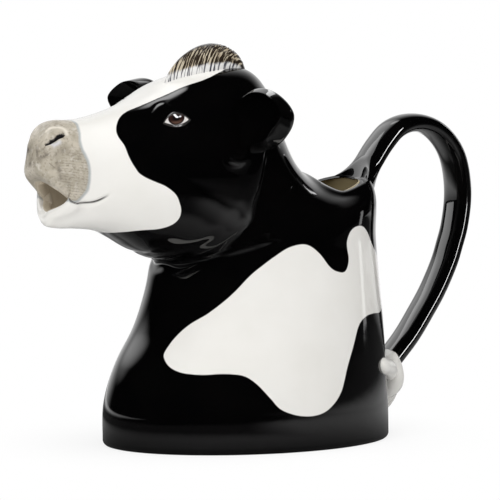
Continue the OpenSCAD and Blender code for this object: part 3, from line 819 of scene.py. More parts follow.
def mottled_glaze(name, grain, first, second, **finish):
    """A glazed material of two near colours in soft clouds: returns it and its shader."""
    material = new_material(name)
    tree, shader = glazed(material, **finish)
    join(tree, blend(tree, mottled(tree, *grain), first, second), shader.inputs["Base Color"])
    return material, shader


inner_glaze, _ = mottled_glaze("inner_glaze", (45.0, 0.3, 0.75), (0.46, 0.38, 0.22, 1), (0.34, 0.26, 0.12, 1),
                               spread=0.08)
bare_foot, foot_shader = mottled_glaze("bare_foot", (400.0, 0.3, 0.7), (0.74, 0.70, 0.62, 1),
                                       (0.66, 0.61, 0.52, 1), wave=0.0002)
foot_shader.inputs["Coat Weight"].default_value = 0.0

# Rows of the jug's grid, as stations. Beside the hole they are shares of its half length.
near_hole = [5.42, 5.54, 5.64, 5.72]
wall_low = 0.16
wall_top = 5.3
wall_row_count = 108
inner_row_count = 40
floor_turn = 0.25
shoulder_row = 9.93
wall_rows = np.concatenate([np.linspace(wall_low, wall_top, wall_row_count), near_hole])
beside_count = 10
hole_count = 25
beside_share = 1.5
hole_rows = np.concatenate([np.linspace(-beside_share, -1, beside_count),
                            np.linspace(-1, 1, hole_count)[1:-1],
                            np.linspace(1, beside_share, beside_count)])
last_rows = np.array([shoulder_row, cut_station])
low_row = beside_count - 1
high_row = low_row + hole_count - 1
# The foot's edge is eased: station and share of the easing
foot_easing_shares = ((0.0, 1.0), (0.01, 0.62), (0.03, 0.36), (0.06, 0.14), (0.1, 0.0))
foot_rows = [(t, foot_ease * share) for t, share in foot_easing_shares]
outside, outside_t, outside_angle = jug_grid(foot_rows, wall_rows, hole_rows, last_rows, 0.0)
floor_station = floor_thickness / (body_shares[1, 1] * throat_height)
# Inside, the floor turns up into the wall: stations above the floor, and the inset there
floor_rows = [(floor_station + above, inset * mm) for above, inset in ((0.0, 2.0), (0.06, 0.8), (0.15, 0.0))]
inner_walls = np.concatenate([np.linspace(floor_station + floor_turn, wall_top, inner_row_count), near_hole])
lining, _, _ = jug_grid(floor_rows, inner_walls, hole_rows, last_rows, wall)


def holed_faces(rows, first_hole_row, start):
    """Faces of a jug grid without those that the hole takes."""
    faces = grid_quads(rows, around, start)
    keep = np.ones(faces.shape[:2], bool)
    low = first_hole_row + low_row
    high = first_hole_row + high_row
    keep[low:high, :side_columns] = False
    keep[low:high, around - side_columns:] = False
    return faces[keep]


outer_hole_start = len(foot_rows) + len(wall_rows)
inner_hole_start = len(floor_rows) + len(inner_walls)


def hole_loop(first_hole_row):
    """Grid places of the hole's edge, once round, as row and column."""
    low = first_hole_row + low_row
    high = first_hole_row + high_row
    right = [(r, side_columns) for r in range(low, high)]
    top = [(high, c % around) for c in range(side_columns, -side_columns, -1)]
    left = [(r, around - side_columns) for r in range(high, low, -1)]
    bottom = [(low, c % around) for c in range(-side_columns, side_columns)]
    return np.array(right + top + left + bottom)


outer_loop = hole_loop(outer_hole_start)
inner_loop = hole_loop(inner_hole_start)
lip_from = outside[outer_loop[:, 0], outer_loop[:, 1]]
lip_to = lining[inner_loop[:, 0], inner_loop[:, 1]]
lip_middle = (lip_from + lip_to) / 2
lip_half = (lip_from - lip_to) / 2
lip_size = np.linalg.norm(lip_half, axis=1)[:, None]
lip_in = skin(np.array(hole_middle), np.array(0.0)) - lip_middle
lip_in -= lip_half * (lip_in * lip_half).sum(1)[:, None] / lip_size ** 2
lip_in /= np.linalg.norm(lip_in, axis=1)[:, None]
# The lip is rolled over from the outer wall to the inner one: degrees from row to row
lip_step = 18
lip_turns = np.radians(np.arange(lip_step, 180, lip_step))
lips = np.array([lip_middle + lip_half * np.cos(a) + lip_in * lip_size * np.sin(a) for a in lip_turns])
loop_size = len(outer_loop)
outer_count = outside.shape[0] * around
inner_count = lining.shape[0] * around
lip_start = outer_count + inner_count
lip_index = np.vstack([outer_loop[:, 0] * around + outer_loop[:, 1],
                       lip_start + np.arange(len(lip_turns) * loop_size).reshape(-1, loop_size),
                       outer_count + inner_loop[:, 0] * around + inner_loop[:, 1]])
lip_faces = np.stack([lip_index[:-1], lip_index[1:], np.roll(lip_index[1:], -1, 1),
                      np.roll(lip_index[:-1], -1, 1)], -1).reshape(-1, 4)
outer_faces = holed_faces(outside.shape[0], outer_hole_start, 0)
inner_faces = holed_faces(lining.shape[0], inner_hole_start, outer_count)[:, ::-1]
top_outer = (outside.shape[0] - 1) * around + np.arange(around)
top_inner = outer_count + (lining.shape[0] - 1) * around + np.arange(around)
cut_faces = np.stack([top_outer, top_inner, np.roll(top_inner, -1), np.roll(top_outer, -1)], -1)


def cap(ring, middle, flip):
    """Quads that close a ring of an even count onto one middle point, two edges at a time."""
    first = ring[0::2]
    second = ring[1::2]
    third = np.roll(first, -1)
    centre = np.full(len(first), middle)
    quads = np.stack([first, second, third, centre], -1)
    return quads[:, ::-1] if flip else quads


lips_count = len(lip_turns) * loop_size
foot_middle = lip_start + lips_count
foot_cap = cap(np.arange(around), foot_middle, False)
floor_cap = cap(outer_count + np.arange(around), foot_middle + 1, True)
jug_points = np.concatenate([outside.reshape(-1, 3), lining.reshape(-1, 3), lips.reshape(-1, 3),
                             [outside[0].mean(0), lining[0].mean(0)]])
jug_faces = np.concatenate([outer_faces, inner_faces, lip_faces, cut_faces, foot_cap, floor_cap])
jug_slots = np.concatenate([np.zeros(len(outer_faces)), np.ones(len(inner_faces)),
                            np.zeros(len(lip_faces)), np.zeros(len(cut_faces)),
                            np.full(len(foot_cap), 2), np.ones(len(floor_cap))])
far_off = 9.0
jug_white = np.full(len(jug_points), -far_off)
jug_white[:outer_count] = white_depth(outside_t, outside_angle).ravel()
jug = make_piece("jug_body", jug_points, jug_faces, [coat_paint, inner_glaze, bare_foot], jug_slots,
                 {"white_depth": jug_white})
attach(jug, "root")
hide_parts("body_casting")


# Head: a second casting, stuck to the jug behind the cheeks, with the mouth left open as the spout
# The muzzle is sponged in taupe, the eyes are painted, and the lining is the bare glazed clay.

# Rows stand closer together at the eyes and the muzzle's front: station, reach and how much
row_crowding = ((15.95, 0.8, 1.3), (22.5, 2.0, 0.8))
head_row_count = 250
cavity_length = 5.5
cavity_row_count = 44
# The lip's edge turns in: millimetres back from it, and the share towards its middle
lip_drop_shares = ((0.10, 0.035), (0.35, 0.07), (0.8, 0.085), (1.8, 0.07), (3.0, 0.02))


def head_density(t):
    """How close the head's rows stand to each other at a station."""
    return 1 + sum(more * hump(t - middle, reach) for middle, reach, more in row_crowding)


head_t = dense(cut_station, mouth_station, head_row_count, head_density)
head_grid = skin(*np.meshgrid(head_t, columns, indexing="ij"))
mouth_ring = head_grid[-1]
mouth_centre = mouth_ring.mean(0)
channel = np.array([mouth_centre + (mouth_ring - mouth_centre) * (1 - share) + [back * mm, 0, 0]
                    for back, share in lip_drop_shares])
cavity_t = np.linspace(mouth_station - cavity_length, cut_station, cavity_row_count)
cavity = skin(*np.meshgrid(cavity_t, columns, indexing="ij"), wall)
head_points = np.concatenate([head_grid, channel, cavity])
ring_count = len(head_points)
ring_index = np.arange(ring_count)
r, c = np.meshgrid(ring_index, np.arange(around), indexing="ij")
after_r = (r + 1) % ring_count
after_c = (c + 1) % around
head_faces = np.stack([r * around + c, after_r * around + c, after_r * around + after_c,
                       r * around + after_c], -1).reshape(-1, 4)
head_slots = np.repeat(np.where(ring_index < len(head_t) - 1, 0, 1), around)

# Edge of the muzzle's sponged pad on the near side, and lines over it: stations and degrees
pad_places = [(19.98, 0), (20.02, 12), (20.08, 23.5), (20.3, 42.5), (20.46, 54.2), (20.38, 64.2),
              (20.12, 71.5), (19.84, 80.8), (19.72, 88.5), (19.7, 95.5), (19.76, 102.2),
              (20.16, 108.0), (20.9, 109.5), (22.6, 103.5), (24.4, 98), (26.2, 94)]
pale_places = [(22.75, 34.0), (22.6, 41.0), (22.2, 44.5)]
# A painted highlight: the pale arc over the nostril, where the glaze gleams on its swell
nostril_highlight_places = [(22.42, 13.8), (22.14, 16.2), (21.82, 22.0), (21.5, 27.2), (21.28, 32.8), (21.26, 41.5)]
fine_places = [(23.72, 43.5), (23.74, 49.0), (23.76, 53.5)]
# The iris: its middle on the form, and the shift of it there in millimetres
iris_place = (16.03, 54.6)
iris_shift = (-0.33, 0.28)
# Painted round the iris, in millimetres from its middle: the stroke and dot of a painted highlight for the
# window's glint, and the lid
glint_highlight_stroke = np.array([[-0.45, 1.35], [-0.20, 0.85], [0.05, 0.25], [0.35, 0.10]])
glint_highlight_dot = (1.15, 0.25)
# The dot is this much smaller than the stroke is wide
dot_less = 0.02
lid_line = np.array([[-1.2, -2.35], [-0.4, -2.65], [0.6, -2.70], [1.5, -2.45]])
# Sponge marks of the muzzle: station, angle, radius across and up in millimetres, and strength
smudges = ((23.64, 18, 1.4, 1.2, 1.0), (23.64, 28, 1.7, 0.8, 0.9), (23.2, 41, 2.1, 0.7, 0.9),
           (24.0, 22, 0.8, 1.1, 0.6), (22.1, 55.5, 1.1, 0.9, 0.5), (24.3, -4, 1.0, 1.6, 0.6),
           (24.6, -12, 0.9, 1.8, 0.5), (24.5, 6, 0.8, 1.3, 0.55), (22.3, 4, 2.4, 1.2, 0.35),
           (21.4, 20, 2.2, 0.8, 0.35), (23.3, 57, 0.5, 1.6, 0.6), (23.76, 62, 0.6, 1.8, 0.65),
           (24.2, 63.5, 0.6, 1.0, 0.5), (21.0, 64, 2.2, 1.4, 0.25), (24.6, 58, 1.6, 0.4, 0.35))
smudge_reach = 6 * mm
# Rows of stipple on the muzzle's side: from this angle on, up to this station, and their slope
row_angle = 55.0
row_angle_fade = 12.0
row_station = 25.2
row_station_fade = 1.2
row_slope_share = 0.16

t_grid, angle_grid = np.meshgrid(head_t, columns, indexing="ij")
near_grid = mirrored(plain_skin(t_grid, angle_grid))
pad_closing = np.array([[mouth_station + 1, pad_places[-1][1]], [mouth_station + 1, 0], pad_places[0]])
mouth_off, mouth_at = curve_gap(near_grid, mouth_line)
nostril_off, nostril_at = curve_gap(near_grid, nostril_line)
head_values = {
    "white_depth": white_depth(t_grid, angle_grid),
    "pad_depth": patch_depth(near_grid, t_grid, np.abs(angle_grid), open_curve(pad_places, 6), [pad_closing]),
    "mouth_gap": mouth_off / mm,
    "mouth_fade": mouth_at,
    "nostril_gap": nostril_off / mm,
    "nostril_at": nostril_at}
along, up, _ = eye_frame(head_grid)
near_eye = np.linalg.norm(near_grid - eye_middle, axis=-1) < eye_reach
iris_spot = eye_frame(skin(*np.array(iris_place)))
eye_plane = np.stack([along - iris_spot[0], up - iris_spot[1]], -1) / mm - iris_shift
highlight_dot_gap = np.linalg.norm(eye_plane - glint_highlight_dot, axis=-1) + dot_less
eye_values = {
    "eye_gap": almond(along, up) / mm,
    "iris_gap": np.hypot(eye_plane[..., 0], eye_plane[..., 1]),
    "glint_highlight_gap": np.minimum(curve_gap(eye_plane, glint_highlight_stroke)[0], highlight_dot_gap),
    "lid_line": curve_gap(eye_plane, lid_line)[0]}
head_values.update({key: np.where(near_eye, value, far_off) for key, value in eye_values.items()})
head_values["eye_up"] = np.where(near_eye, up / mm, 0.0)
smudge = np.zeros(t_grid.shape)
picture_across = np.array([np.cos(camera_turn), -np.sin(camera_turn), 0.0])
for station, angle, across, high, strength in smudges:
    off = near_grid - plain_skin(np.array(station), np.array(float(angle)))
    span = np.hypot((off @ picture_across) / (across * mm), off[..., 2] / (high * mm))
    smudge += strength * np.exp(-span ** 2) * (np.linalg.norm(off, axis=-1) < smudge_reach)
head_values["smudge"] = smudge
for key, line in (("pale_gap", np.array(pale_places)), ("nostril_highlight_gap", open_curve(nostril_highlight_places)),
                  ("fine_gap", np.array(fine_places))):
    head_values[key] = curve_gap(near_grid, plain_skin(*line.T))[0] / mm
row_share = np.clip((np.abs(angle_grid) - row_angle) / row_angle_fade, 0, 1)
head_values["row_share"] = row_share * np.clip((row_station - t_grid) / row_station_fade, 0, 1)
head_values["row_height"] = (near_grid[..., 2] + row_slope_share * (near_grid @ picture_across)) / mm
# The mouth's lining carries no paint, so every line lies far off there
rest = (ring_count - len(head_t)) * around
far_keys = {key for key in head_values if key.endswith("_gap") or key == "lid_line"}
head_values = {key: np.concatenate([value.ravel(), np.full(rest, far_off if key in far_keys else 0.0)])
               for key, value in head_values.items()}

# Paints, as red, green, blue and one
taupe_paint = (0.54, 0.49, 0.405, 1)
taupe_deep = (0.40, 0.36, 0.285, 1)
stipple_paint = (0.235, 0.205, 0.165, 1)
smudge_paint = (0.12, 0.098, 0.075, 1)
nostril_paint = (0.010, 0.009, 0.010, 1)
mouth_paint = (0.10, 0.095, 0.09, 1)
eye_white = (0.70, 0.68, 0.66, 1)
eye_pink = (0.52, 0.47, 0.46, 1)
iris_dark = (0.022, 0.010, 0.008, 1)
iris_brown = (0.10, 0.055, 0.04, 1)
# Clouds: their scale a metre, and the levels of noise where they start and are full
taupe_grain = (260.0, 0.38, 0.62)
stipple_grain = (1300.0, 0.42, 0.60)
smudge_grain = (700.0, 0.30, 0.62)
nostril_grain = (1000.0, 0.3, 0.7)
eye_grain = (900.0, 0.4, 0.7)
taupe_clouds = (((1100.0, 0.52, 0.74), (0.27, 0.235, 0.18, 1)),
                ((620.0, 0.56, 0.76), (0.62, 0.58, 0.51, 1)))
# Brushed layers: a stored value, where it starts and is full, its waver and the waver's
# scale a metre, and then the paint
# The last of these lines is a painted highlight: the pale arc over the nostril
muzzle_lines = ((("fine_gap", 0.32, 0.10, 0.15, 900.0), (0.22, 0.19, 0.155, 1)),
                (("pale_gap", 1.5, 0.3, 0.9, 900.0), (0.62, 0.61, 0.63, 1)),
                (("nostril_highlight_gap", 1.25, 0.40, 0.75, 600.0), (0.70, 0.65, 0.56, 1)))
lid_layers = ((("eye_gap", 0.75, 0.55), (0.035, 0.033, 0.032, 1)),
              (("eye_gap", 0.22, 0.12), (0.004, 0.003, 0.003, 1)))
iris_layers = ((("iris_gap", 1.3, 1.0), (0.006, 0.004, 0.004, 1)),
               (("iris_gap", 1.85, 2.2), (0.008, 0.004, 0.004, 1)))
# Last over the eye: a pale line under the lid, and the glint as a painted highlight in white
last_strokes = ((("lid_line", 0.30, 0.12, 0.12, 1500.0), (0.55, 0.55, 0.56, 1)),
                (("glint_highlight_gap", 0.46, 0.26, 0.08, 1200.0), (0.88, 0.88, 0.90, 1)))
# Edges, given in the same way: the pad's grey-blue wash, its taupe and its dull finish, the
# mouth's line and its end, and the eye, its iris and how the iris grows lighter downwards
wash_edge = ("pad_depth", -1.0, -0.25, 0.35, 500.0)
wash_paint = (0.44, 0.46, 0.46, 1)
taupe_edge = ("pad_depth", -0.25, 0.55, 0.5, 500.0)
dull_edge = ("pad_depth", -0.5, 0.9)
mouth_stroke = ("mouth_gap", 0.42, 0.12)
mouth_end = ("mouth_fade", 1.0, 0.75)
eye_edge = ("eye_gap", 0.04, -0.10)
iris_edge = ("iris_gap", 2.4, 2.25)
iris_lift = ("eye_up", 0.2, -1.4)
# The stipple's pitch in millimetres and its levels, the nostril's widening, waver and edge,
# and the gloss outside the pad and on it
stipple_pitch = 0.78
stipple_levels = (0.35, 0.95, 0.0, 0.75)
slit_widths = (0.10, -0.22)
slit_waver = 0.35
slit_edge = (0.80, 0.48)
sponged_gloss = (0.05, 0.42)


def layered(tree, colour, layers):
    """A colour with layers of paint brushed over it."""
    for edge, paint in layers:
        colour = blend(tree, edge_mask(tree, *edge), colour, paint)
    return colour


def taupe_colour(tree):
    """The muzzle's taupe: sponged clouds, rows of stipple, smudges, thin lines, and a painted highlight arc
    over the nostril.
    """
    taupe = blend(tree, mottled(tree, *taupe_grain), taupe_paint, taupe_deep)
    for grain, paint in taupe_clouds:
        taupe = blend(tree, mottled(tree, *grain), taupe, paint)
    turn = worked(tree, "MULTIPLY", stored(tree, "row_height"), 2 * np.pi / stipple_pitch)
    wave = worked(tree, "SINE", turn)
    here = worked(tree, "MULTIPLY", stored(tree, "row_share"), mottled(tree, *stipple_grain))
    stipple = worked(tree, "MULTIPLY", ramp(tree, wave, *stipple_levels), here)
    taupe = blend(tree, stipple, taupe, stipple_paint)
    dabbed = worked(tree, "MULTIPLY", stored(tree, "smudge"), mottled(tree, *smudge_grain), clamp=True)
    return layered(tree, blend(tree, dabbed, taupe, smudge_paint), muzzle_lines)


def mouth_colour(tree, colour):
    """The nostril's slit, which narrows along its line, and the mouth's line."""
    width = ramp(tree, stored(tree, "nostril_at"), 0.0, 1.0, *slit_widths, soft=False)
    gap = worked(tree, "ADD", stored(tree, "nostril_gap"), width)
    rough = worked(tree, "MULTIPLY_ADD", mottled(tree, *nostril_grain), slit_waver, gap)
    colour = blend(tree, ramp(tree, rough, *slit_edge), colour, nostril_paint)
    drawn_mouth = worked(tree, "MULTIPLY", edge_mask(tree, *mouth_stroke), edge_mask(tree, *mouth_end))
    return blend(tree, drawn_mouth, colour, mouth_paint)


def eye_colour(tree, colour):
    """The eye: dark lids, the white, the iris with its pupil, and the window's glint as a painted highlight.
    """
    colour = layered(tree, colour, lid_layers)
    white = blend(tree, mottled(tree, *eye_grain), eye_white, eye_pink)
    colour = blend(tree, edge_mask(tree, *eye_edge), colour, white)
    iris = blend(tree, edge_mask(tree, *iris_lift), iris_dark, iris_brown)
    in_eye = worked(tree, "MULTIPLY", edge_mask(tree, *iris_edge), edge_mask(tree, *eye_edge))
    colour = blend(tree, in_eye, colour, layered(tree, iris, iris_layers))
    return layered(tree, colour, last_strokes)


face_paint = new_material("face_paint")
face_tree, face_shader = glazed(face_paint)
colour = blend(face_tree, edge_mask(face_tree, *wash_edge), coat_colour(face_tree), wash_paint)
colour = blend(face_tree, edge_mask(face_tree, *taupe_edge), colour, taupe_colour(face_tree))
join(face_tree, eye_colour(face_tree, mouth_colour(face_tree, colour)), face_shader.inputs["Base Color"])
sponged = ramp(face_tree, edge_mask(face_tree, *dull_edge), 0.0, 1.0, *sponged_gloss, soft=False)
join(face_tree, sponged, face_shader.inputs["Roughness"])

lip_lining, lining_shader = mottled_glaze("lip_lining", (200.0, 0.3, 0.75), (0.40, 0.355, 0.28, 1),
                                          (0.34, 0.30, 0.235, 1), spread=0.08)
# Light that goes to and fro inside the pale mouth is given as a faint glow
lining_shader.inputs["Emission Color"].default_value = (0.50, 0.42, 0.31, 1)
lining_shader.inputs["Emission Strength"].default_value = 0.16
lining_shader.inputs["Coat Weight"].default_value = 0.0
lining_shader.inputs["Specular IOR Level"].default_value = 0.2
head = make_piece("cow_head", head_points.reshape(-1, 3), head_faces, [face_paint, lip_lining], head_slots,
                  head_values)
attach(head, "root")
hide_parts("head_casting")


def share_normals(first, second, first_ring, second_ring):
    """Two castings that meet at a ring get one normal at each of its points, so that the
    fired joint doesn't show."""
    normals = []
    for piece in (first, second):
        values = np.empty(len(piece.data.vertices) * 3, np.float32)
        piece.data.vertex_normals.foreach_get("vector", values)
        normals.append(values.reshape(-1, 3))
    shared = normals[0][first_ring] + normals[1][second_ring]
    shared /= np.linalg.norm(shared, axis=1)[:, None]
    normals[0][first_ring] = shared
    normals[1][second_ring] = shared
    for piece, values in zip((first, second), normals):
        piece.data.normals_split_custom_set_from_vertices(values.tolist())


share_normals(jug, head, top_outer, np.arange(around))


# Ears: cupped leaves with a rolled rim, pressed in two halves and stuck to the cheeks
# The front rim is thin and the rear rim is a broad roll. Each ear is black inside and out.
black_glaze, _ = mottled_glaze("black_glaze", black_grain, black_paint, black_thin)
ear_length = 30 * mm
ear_height = 18.4 * mm
# Degrees the ear turns back from straight sideways, and rises
ear_sweep = -1.4
ear_rise = 9.5
# Where its root sits on the form, in stations and degrees
ear_place = (13.3, 68.0)
ear_turn = np.radians(ear_sweep - 90)
ear_lift = np.radians(ear_rise)
ear_along = np.array([np.cos(ear_turn) * np.cos(ear_lift), np.sin(ear_turn) * np.cos(ear_lift),
                      np.sin(ear_lift)])
ear_back = np.array([-np.sin(ear_turn), np.cos(ear_turn), 0.0])
ear_up = np.cross(ear_along, ear_back)
ear_root = skin(*np.array(ear_place), wall)
# Outer edge of the rim, then the edge of the hollow: along and up, as shares of the ear
rim_shares = np.array([
    [-0.033, 0.245], [0.050, 0.370], [0.183, 0.467], [0.367, 0.511], [0.543, 0.484], [0.720, 0.386],
    [0.873, 0.239], [0.973, 0.087], [1.000, -0.038], [0.950, -0.185], [0.847, -0.304], [0.720, -0.397],
    [0.527, -0.462], [0.317, -0.478], [0.180, -0.446], [0.067, -0.342], [-0.033, -0.185], [-0.067, 0.033]])
hollow_shares = np.array([
    [0.033, 0.163], [0.100, 0.266], [0.220, 0.353], [0.413, 0.429], [0.567, 0.429], [0.727, 0.359],
    [0.860, 0.228], [0.953, 0.092], [0.967, 0.005], [0.900, -0.087], [0.787, -0.163], [0.660, -0.255],
    [0.480, -0.332], [0.317, -0.353], [0.207, -0.321], [0.113, -0.239], [0.050, -0.109], [0.020, 0.033]])
ear_columns = 120
hollow_rings = 26
rim_rings = 19
dome_rings = 22
middle_shares = (0.48, 0.03)
first_ring_share = 0.06
last_ring_share = 0.96
rim_front = -3.0 * mm
rim_crest = 0.75 * mm
crest_share = 0.45
hollow_floor = 1.3 * mm
hollow_power = 2.4
dome_height = 3.6 * mm
# A fold runs from the root along the lower side of the hollow, and fades
fold_shares = np.array([[0.14, -0.30], [0.46, -0.24]])
fold_height = 1.5 * mm
fold_width = 0.8 * mm


def closed_row(table, count):
    """Places once round a closed smooth line through the rows of a table."""
    ring = np.vstack([table[-1], table, table[:2]])
    return smooth_rows(ring, np.linspace(1, len(table) + 1, count, endpoint=False))


def ear_points(side):
    """The ear as rings: the hollow from its middle out, over the rim, and the back dome."""
    size = np.array([ear_length, ear_height])
    rim = closed_row(rim_shares, ear_columns) * size
    hollow = closed_row(hollow_shares, ear_columns) * size
    middle = np.array(middle_shares) * size
    rows = []
    for q in np.linspace(first_ring_share, 1, hollow_rings)[:-1]:
        depth = hollow_floor + (rim_front - hollow_floor) * q ** hollow_power
        rows.append(np.column_stack([middle + (hollow - middle) * q, np.full(ear_columns, depth)]))
    crest = np.minimum(rim_crest, np.linalg.norm(rim - hollow, axis=1) * crest_share)
    for turn in np.linspace(0, np.pi, rim_rings)[:-1]:
        f = (1 - np.cos(turn)) / 2
        depth = rim_front * (1 - f) - crest * np.sin(turn)
        rows.append(np.column_stack([hollow + (rim - hollow) * f, depth]))
    for turn in np.linspace(0, last_ring_share, dome_rings) * np.pi / 2:
        place = rim + (middle - rim) * (1 - np.cos(turn))
        rows.append(np.column_stack([place, np.full(ear_columns, dome_height * np.sin(turn))]))
    local = np.array(rows)
    fold_start, fold_end = fold_shares * size
    fold = fold_end - fold_start
    f = np.clip(((local[..., :2] - fold_start) @ fold) / (fold @ fold), 0, 1)
    gap = np.linalg.norm(local[..., :2] - fold_start - f[..., None] * fold, axis=-1)
    raised = fold_height * hump(gap, fold_width) * (1 - f)
    raised[hollow_rings - 1:] = 0
    local[..., 2] -= raised
    points = ear_root + local[..., 0:1] * ear_along + local[..., 1:2] * ear_up + local[..., 2:3] * ear_back
    points[..., 1] *= side
    return points


def closed_tube(points, flip=False):
    """Points and quads of a grid of rings, with both of its ends closed."""
    rows, count = points.shape[:2]
    flat = np.concatenate([points.reshape(-1, 3), [points[0].mean(0), points[-1].mean(0)]])
    last = (rows - 1) * count
    faces = np.concatenate([grid_quads(rows, count).reshape(-1, 4),
                            cap(np.arange(count), rows * count, False),
                            cap(last + np.arange(count), rows * count + 1, True)])
    return flat, faces[:, ::-1] if flip else faces


for ear_name, node_name, side in (("near_ear", "left_ear", 1), ("far_ear", "right_ear", -1)):
    ear_flat, ear_faces = closed_tube(ear_points(side), side > 0)
    ear = make_piece(ear_name, ear_flat, ear_faces, [black_glaze])
    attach(ear, "root")
    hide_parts(node_name)
    lit_pieces["ear_pieces"].objects.link(ear)


# Handle: the tail, a pulled strap that springs from the rim and comes down to the tuft
# At its root the strap spreads round the back of the filling hole and down the back wall.
handle_reach = 34 * mm
handle_top = 90.7 * mm
handle_foot = 23 * mm
strap_width = 12.5 * mm
strap_thickness = 5.4 * mm
tail_shares = np.array([
    [-0.055, 0.700], [0.000, 0.785], [0.085, 0.850], [0.180, 0.912], [0.300, 0.970], [0.440, 0.998],
    [0.590, 0.998], [0.735, 0.970], [0.860, 0.915], [0.945, 0.845], [0.992, 0.750], [1.000, 0.650],
    [0.967, 0.541], [0.917, 0.460], [0.855, 0.375], [0.736, 0.260], [0.610, 0.165], [0.472, 0.070],
    [0.330, -0.008], [0.050, -0.150]])
back_wall_x = body_shares[5, 2] * half_length
foot_taper = 0.88
strap_columns = 64
strap_row_count = 230
root_share = 0.10
strap_end_share = 0.975
# The strap's section is an oval with flattened sides
section_power = 0.9
ahead_step = 0.004
# The root: how far it goes round the filling hole, in degrees and in the hole's own size,
# down to which station of the back wall, and how much narrower it is there
root_reach = 64.0
root_ring = 1.13
root_low = 5.2
root_middle_t = 5.8
root_power = 4
low_spread_share = 0.7
edge_depth = 1.5 * mm
middle_depth = 1.7 * mm
cap_first_share = 0.05
cap_row_count = 8
sweep_row_count = 36
# How strongly the root leaves the jug, across and up, and how strongly it meets the strap
leave_across = 1.1
leave_up = 0.15
arrive_ahead = 1.1


def tail_point(f):
    """The tail's middle line at a share of its length."""
    s = smooth_rows(tail_shares, np.asarray(f) * (len(tail_shares) - 1))
    return np.stack([back_wall_x + s[..., 0] * handle_reach, np.zeros(np.shape(f)),
                     handle_foot + s[..., 1] * (handle_top - handle_foot)], -1)


def strap_ring(f, turn):
    """The strap's edge: an oval across the middle line, flat-sided and tapering to the tuft."""
    ahead = tail_point(f + ahead_step) - tail_point(f - ahead_step)
    ahead /= np.linalg.norm(ahead)
    out = np.array([-ahead[2], 0, ahead[0]])
    width = strap_width * (1 - (1 - foot_taper) * f)
    across = signed_power(np.sin(turn), section_power)[:, None] * np.array([0, 1, 0]) * width / 2
    thick = signed_power(np.cos(turn), section_power)[:, None] * out * strap_thickness / 2
    return tail_point(f) + thick + across, ahead


strap_turn = np.linspace(0, 2 * np.pi, strap_columns, endpoint=False)
# The root's edge on the jug: round the rim in front, down the back wall behind
in_front = np.cos(strap_turn) > 0
rim_swing = np.radians(root_reach) * np.sin(strap_turn)
rim_t = hole_middle - hole_half_stations * root_ring * np.cos(rim_swing)
side_t = hole_middle - hole_half_stations * root_ring * np.cos(np.radians(root_reach))
back_t = root_low + (side_t - root_low) * np.abs(np.sin(strap_turn)) ** root_power
root_t = np.where(in_front, rim_t, back_t)
narrowed = low_spread_share + (1 - low_spread_share) * np.abs(np.sin(strap_turn))
root_angle = -hole_half_angle * root_ring * np.sin(rim_swing) * np.where(in_front, 1, narrowed)
root_edge = skin(root_t, root_angle, edge_depth)
strap_start, start_ahead = strap_ring(root_share, strap_turn)
reach_out = strap_start - root_edge
behind = (1 - np.cos(strap_turn)) / 2
leave = reach_out * leave_across
leave[:, 2] = reach_out[:, 2] * (leave_up + behind)
arrive = start_ahead * np.linalg.norm(reach_out, axis=1)[:, None] * arrive_ahead
strap_rows = [skin(root_middle_t + (root_t - root_middle_t) * q, root_angle * q, middle_depth)
              for q in np.linspace(cap_first_share, 1, cap_row_count)[:-1]]
for q in np.linspace(0, 1, sweep_row_count)[:-1]:
    strap_rows.append(root_edge + (strap_start - root_edge) * eased(q)
                      + leave * q * (1 - q) ** 2 - arrive * q ** 2 * (1 - q))
for f in np.linspace(root_share, strap_end_share, strap_row_count):
    strap_rows.append(strap_ring(f, strap_turn)[0])
strap_flat, strap_faces = closed_tube(np.array(strap_rows))
handle = make_piece("handle_strap", strap_flat, strap_faces, [black_glaze])
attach(handle, "root")
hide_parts("tail_handle")
lit_pieces["strip_pieces"].objects.link(handle)
lit_pieces["side_pieces"].objects.link(handle)
lit_pieces["side_pieces"].objects.link(jug)


# Tuft: the white hair at the end of the tail, a fan of soft locks laid on the back wall
# The locks wrap the end of the strap and spread down to both sides.
tuft_height = 15.5 * mm
tuft_spread = 22.0 * mm
tuft_locks = 9
tuft_top = tail_point(0.966)
lock_columns = 28
lock_row_count = 40
# The side of a lock that looks out, and how its ends are rounded
lock_out = np.array([1.0, 0, 0.25])
round_share = 0.16
least_square = 0.0004
# Half width and half thickness of a lock at its places
lock_sizes = np.array([[1.6, 2.2], [2.5, 3.5], [2.9, 3.4], [1.2, 1.3]]) * mm
side_sizes = np.array([[2.4, 2.4], [2.8, 2.5], [2.3, 1.9]]) * mm
# The outer locks are shorter; shares of the spread and of the strap's width set their places
shorter_share = 0.42
end_share = 0.37
crown_share = 0.33
start_share = 0.95
belly_share = 0.85
crown_shift = np.array([-1.1, 0, 0.9]) * mm
start_shift = np.array([-0.9, 0, 2.2]) * mm
lock_stagger = 0.6 * mm
belly_bulge = 1.2 * mm
belly_height = 12 * mm
tip_depth = 0.3 * mm
# The locks to both sides: across, up from the tuft's top and out from the wall, in millimetres
side_root_shift = np.array([-1.2, 3.6, -3.0]) * mm
side_places = ((13.6, 0.6, 0.6), (22.2, 2.8, 0.0))


def wall_point(y, z):
    """The back wall's skin at a place across and up, from its oval section at that height."""
    t = np.interp(z, stations[:7, 3], np.arange(7))
    s = smooth_rows(stations, t)
    reach = (s[..., 2] - s[..., 0]) / 2
    middle = (s[..., 2] + s[..., 0]) / 2
    return middle + reach * np.sqrt(np.clip(1 - (y / s[..., 4]) ** 2, 0, 1))


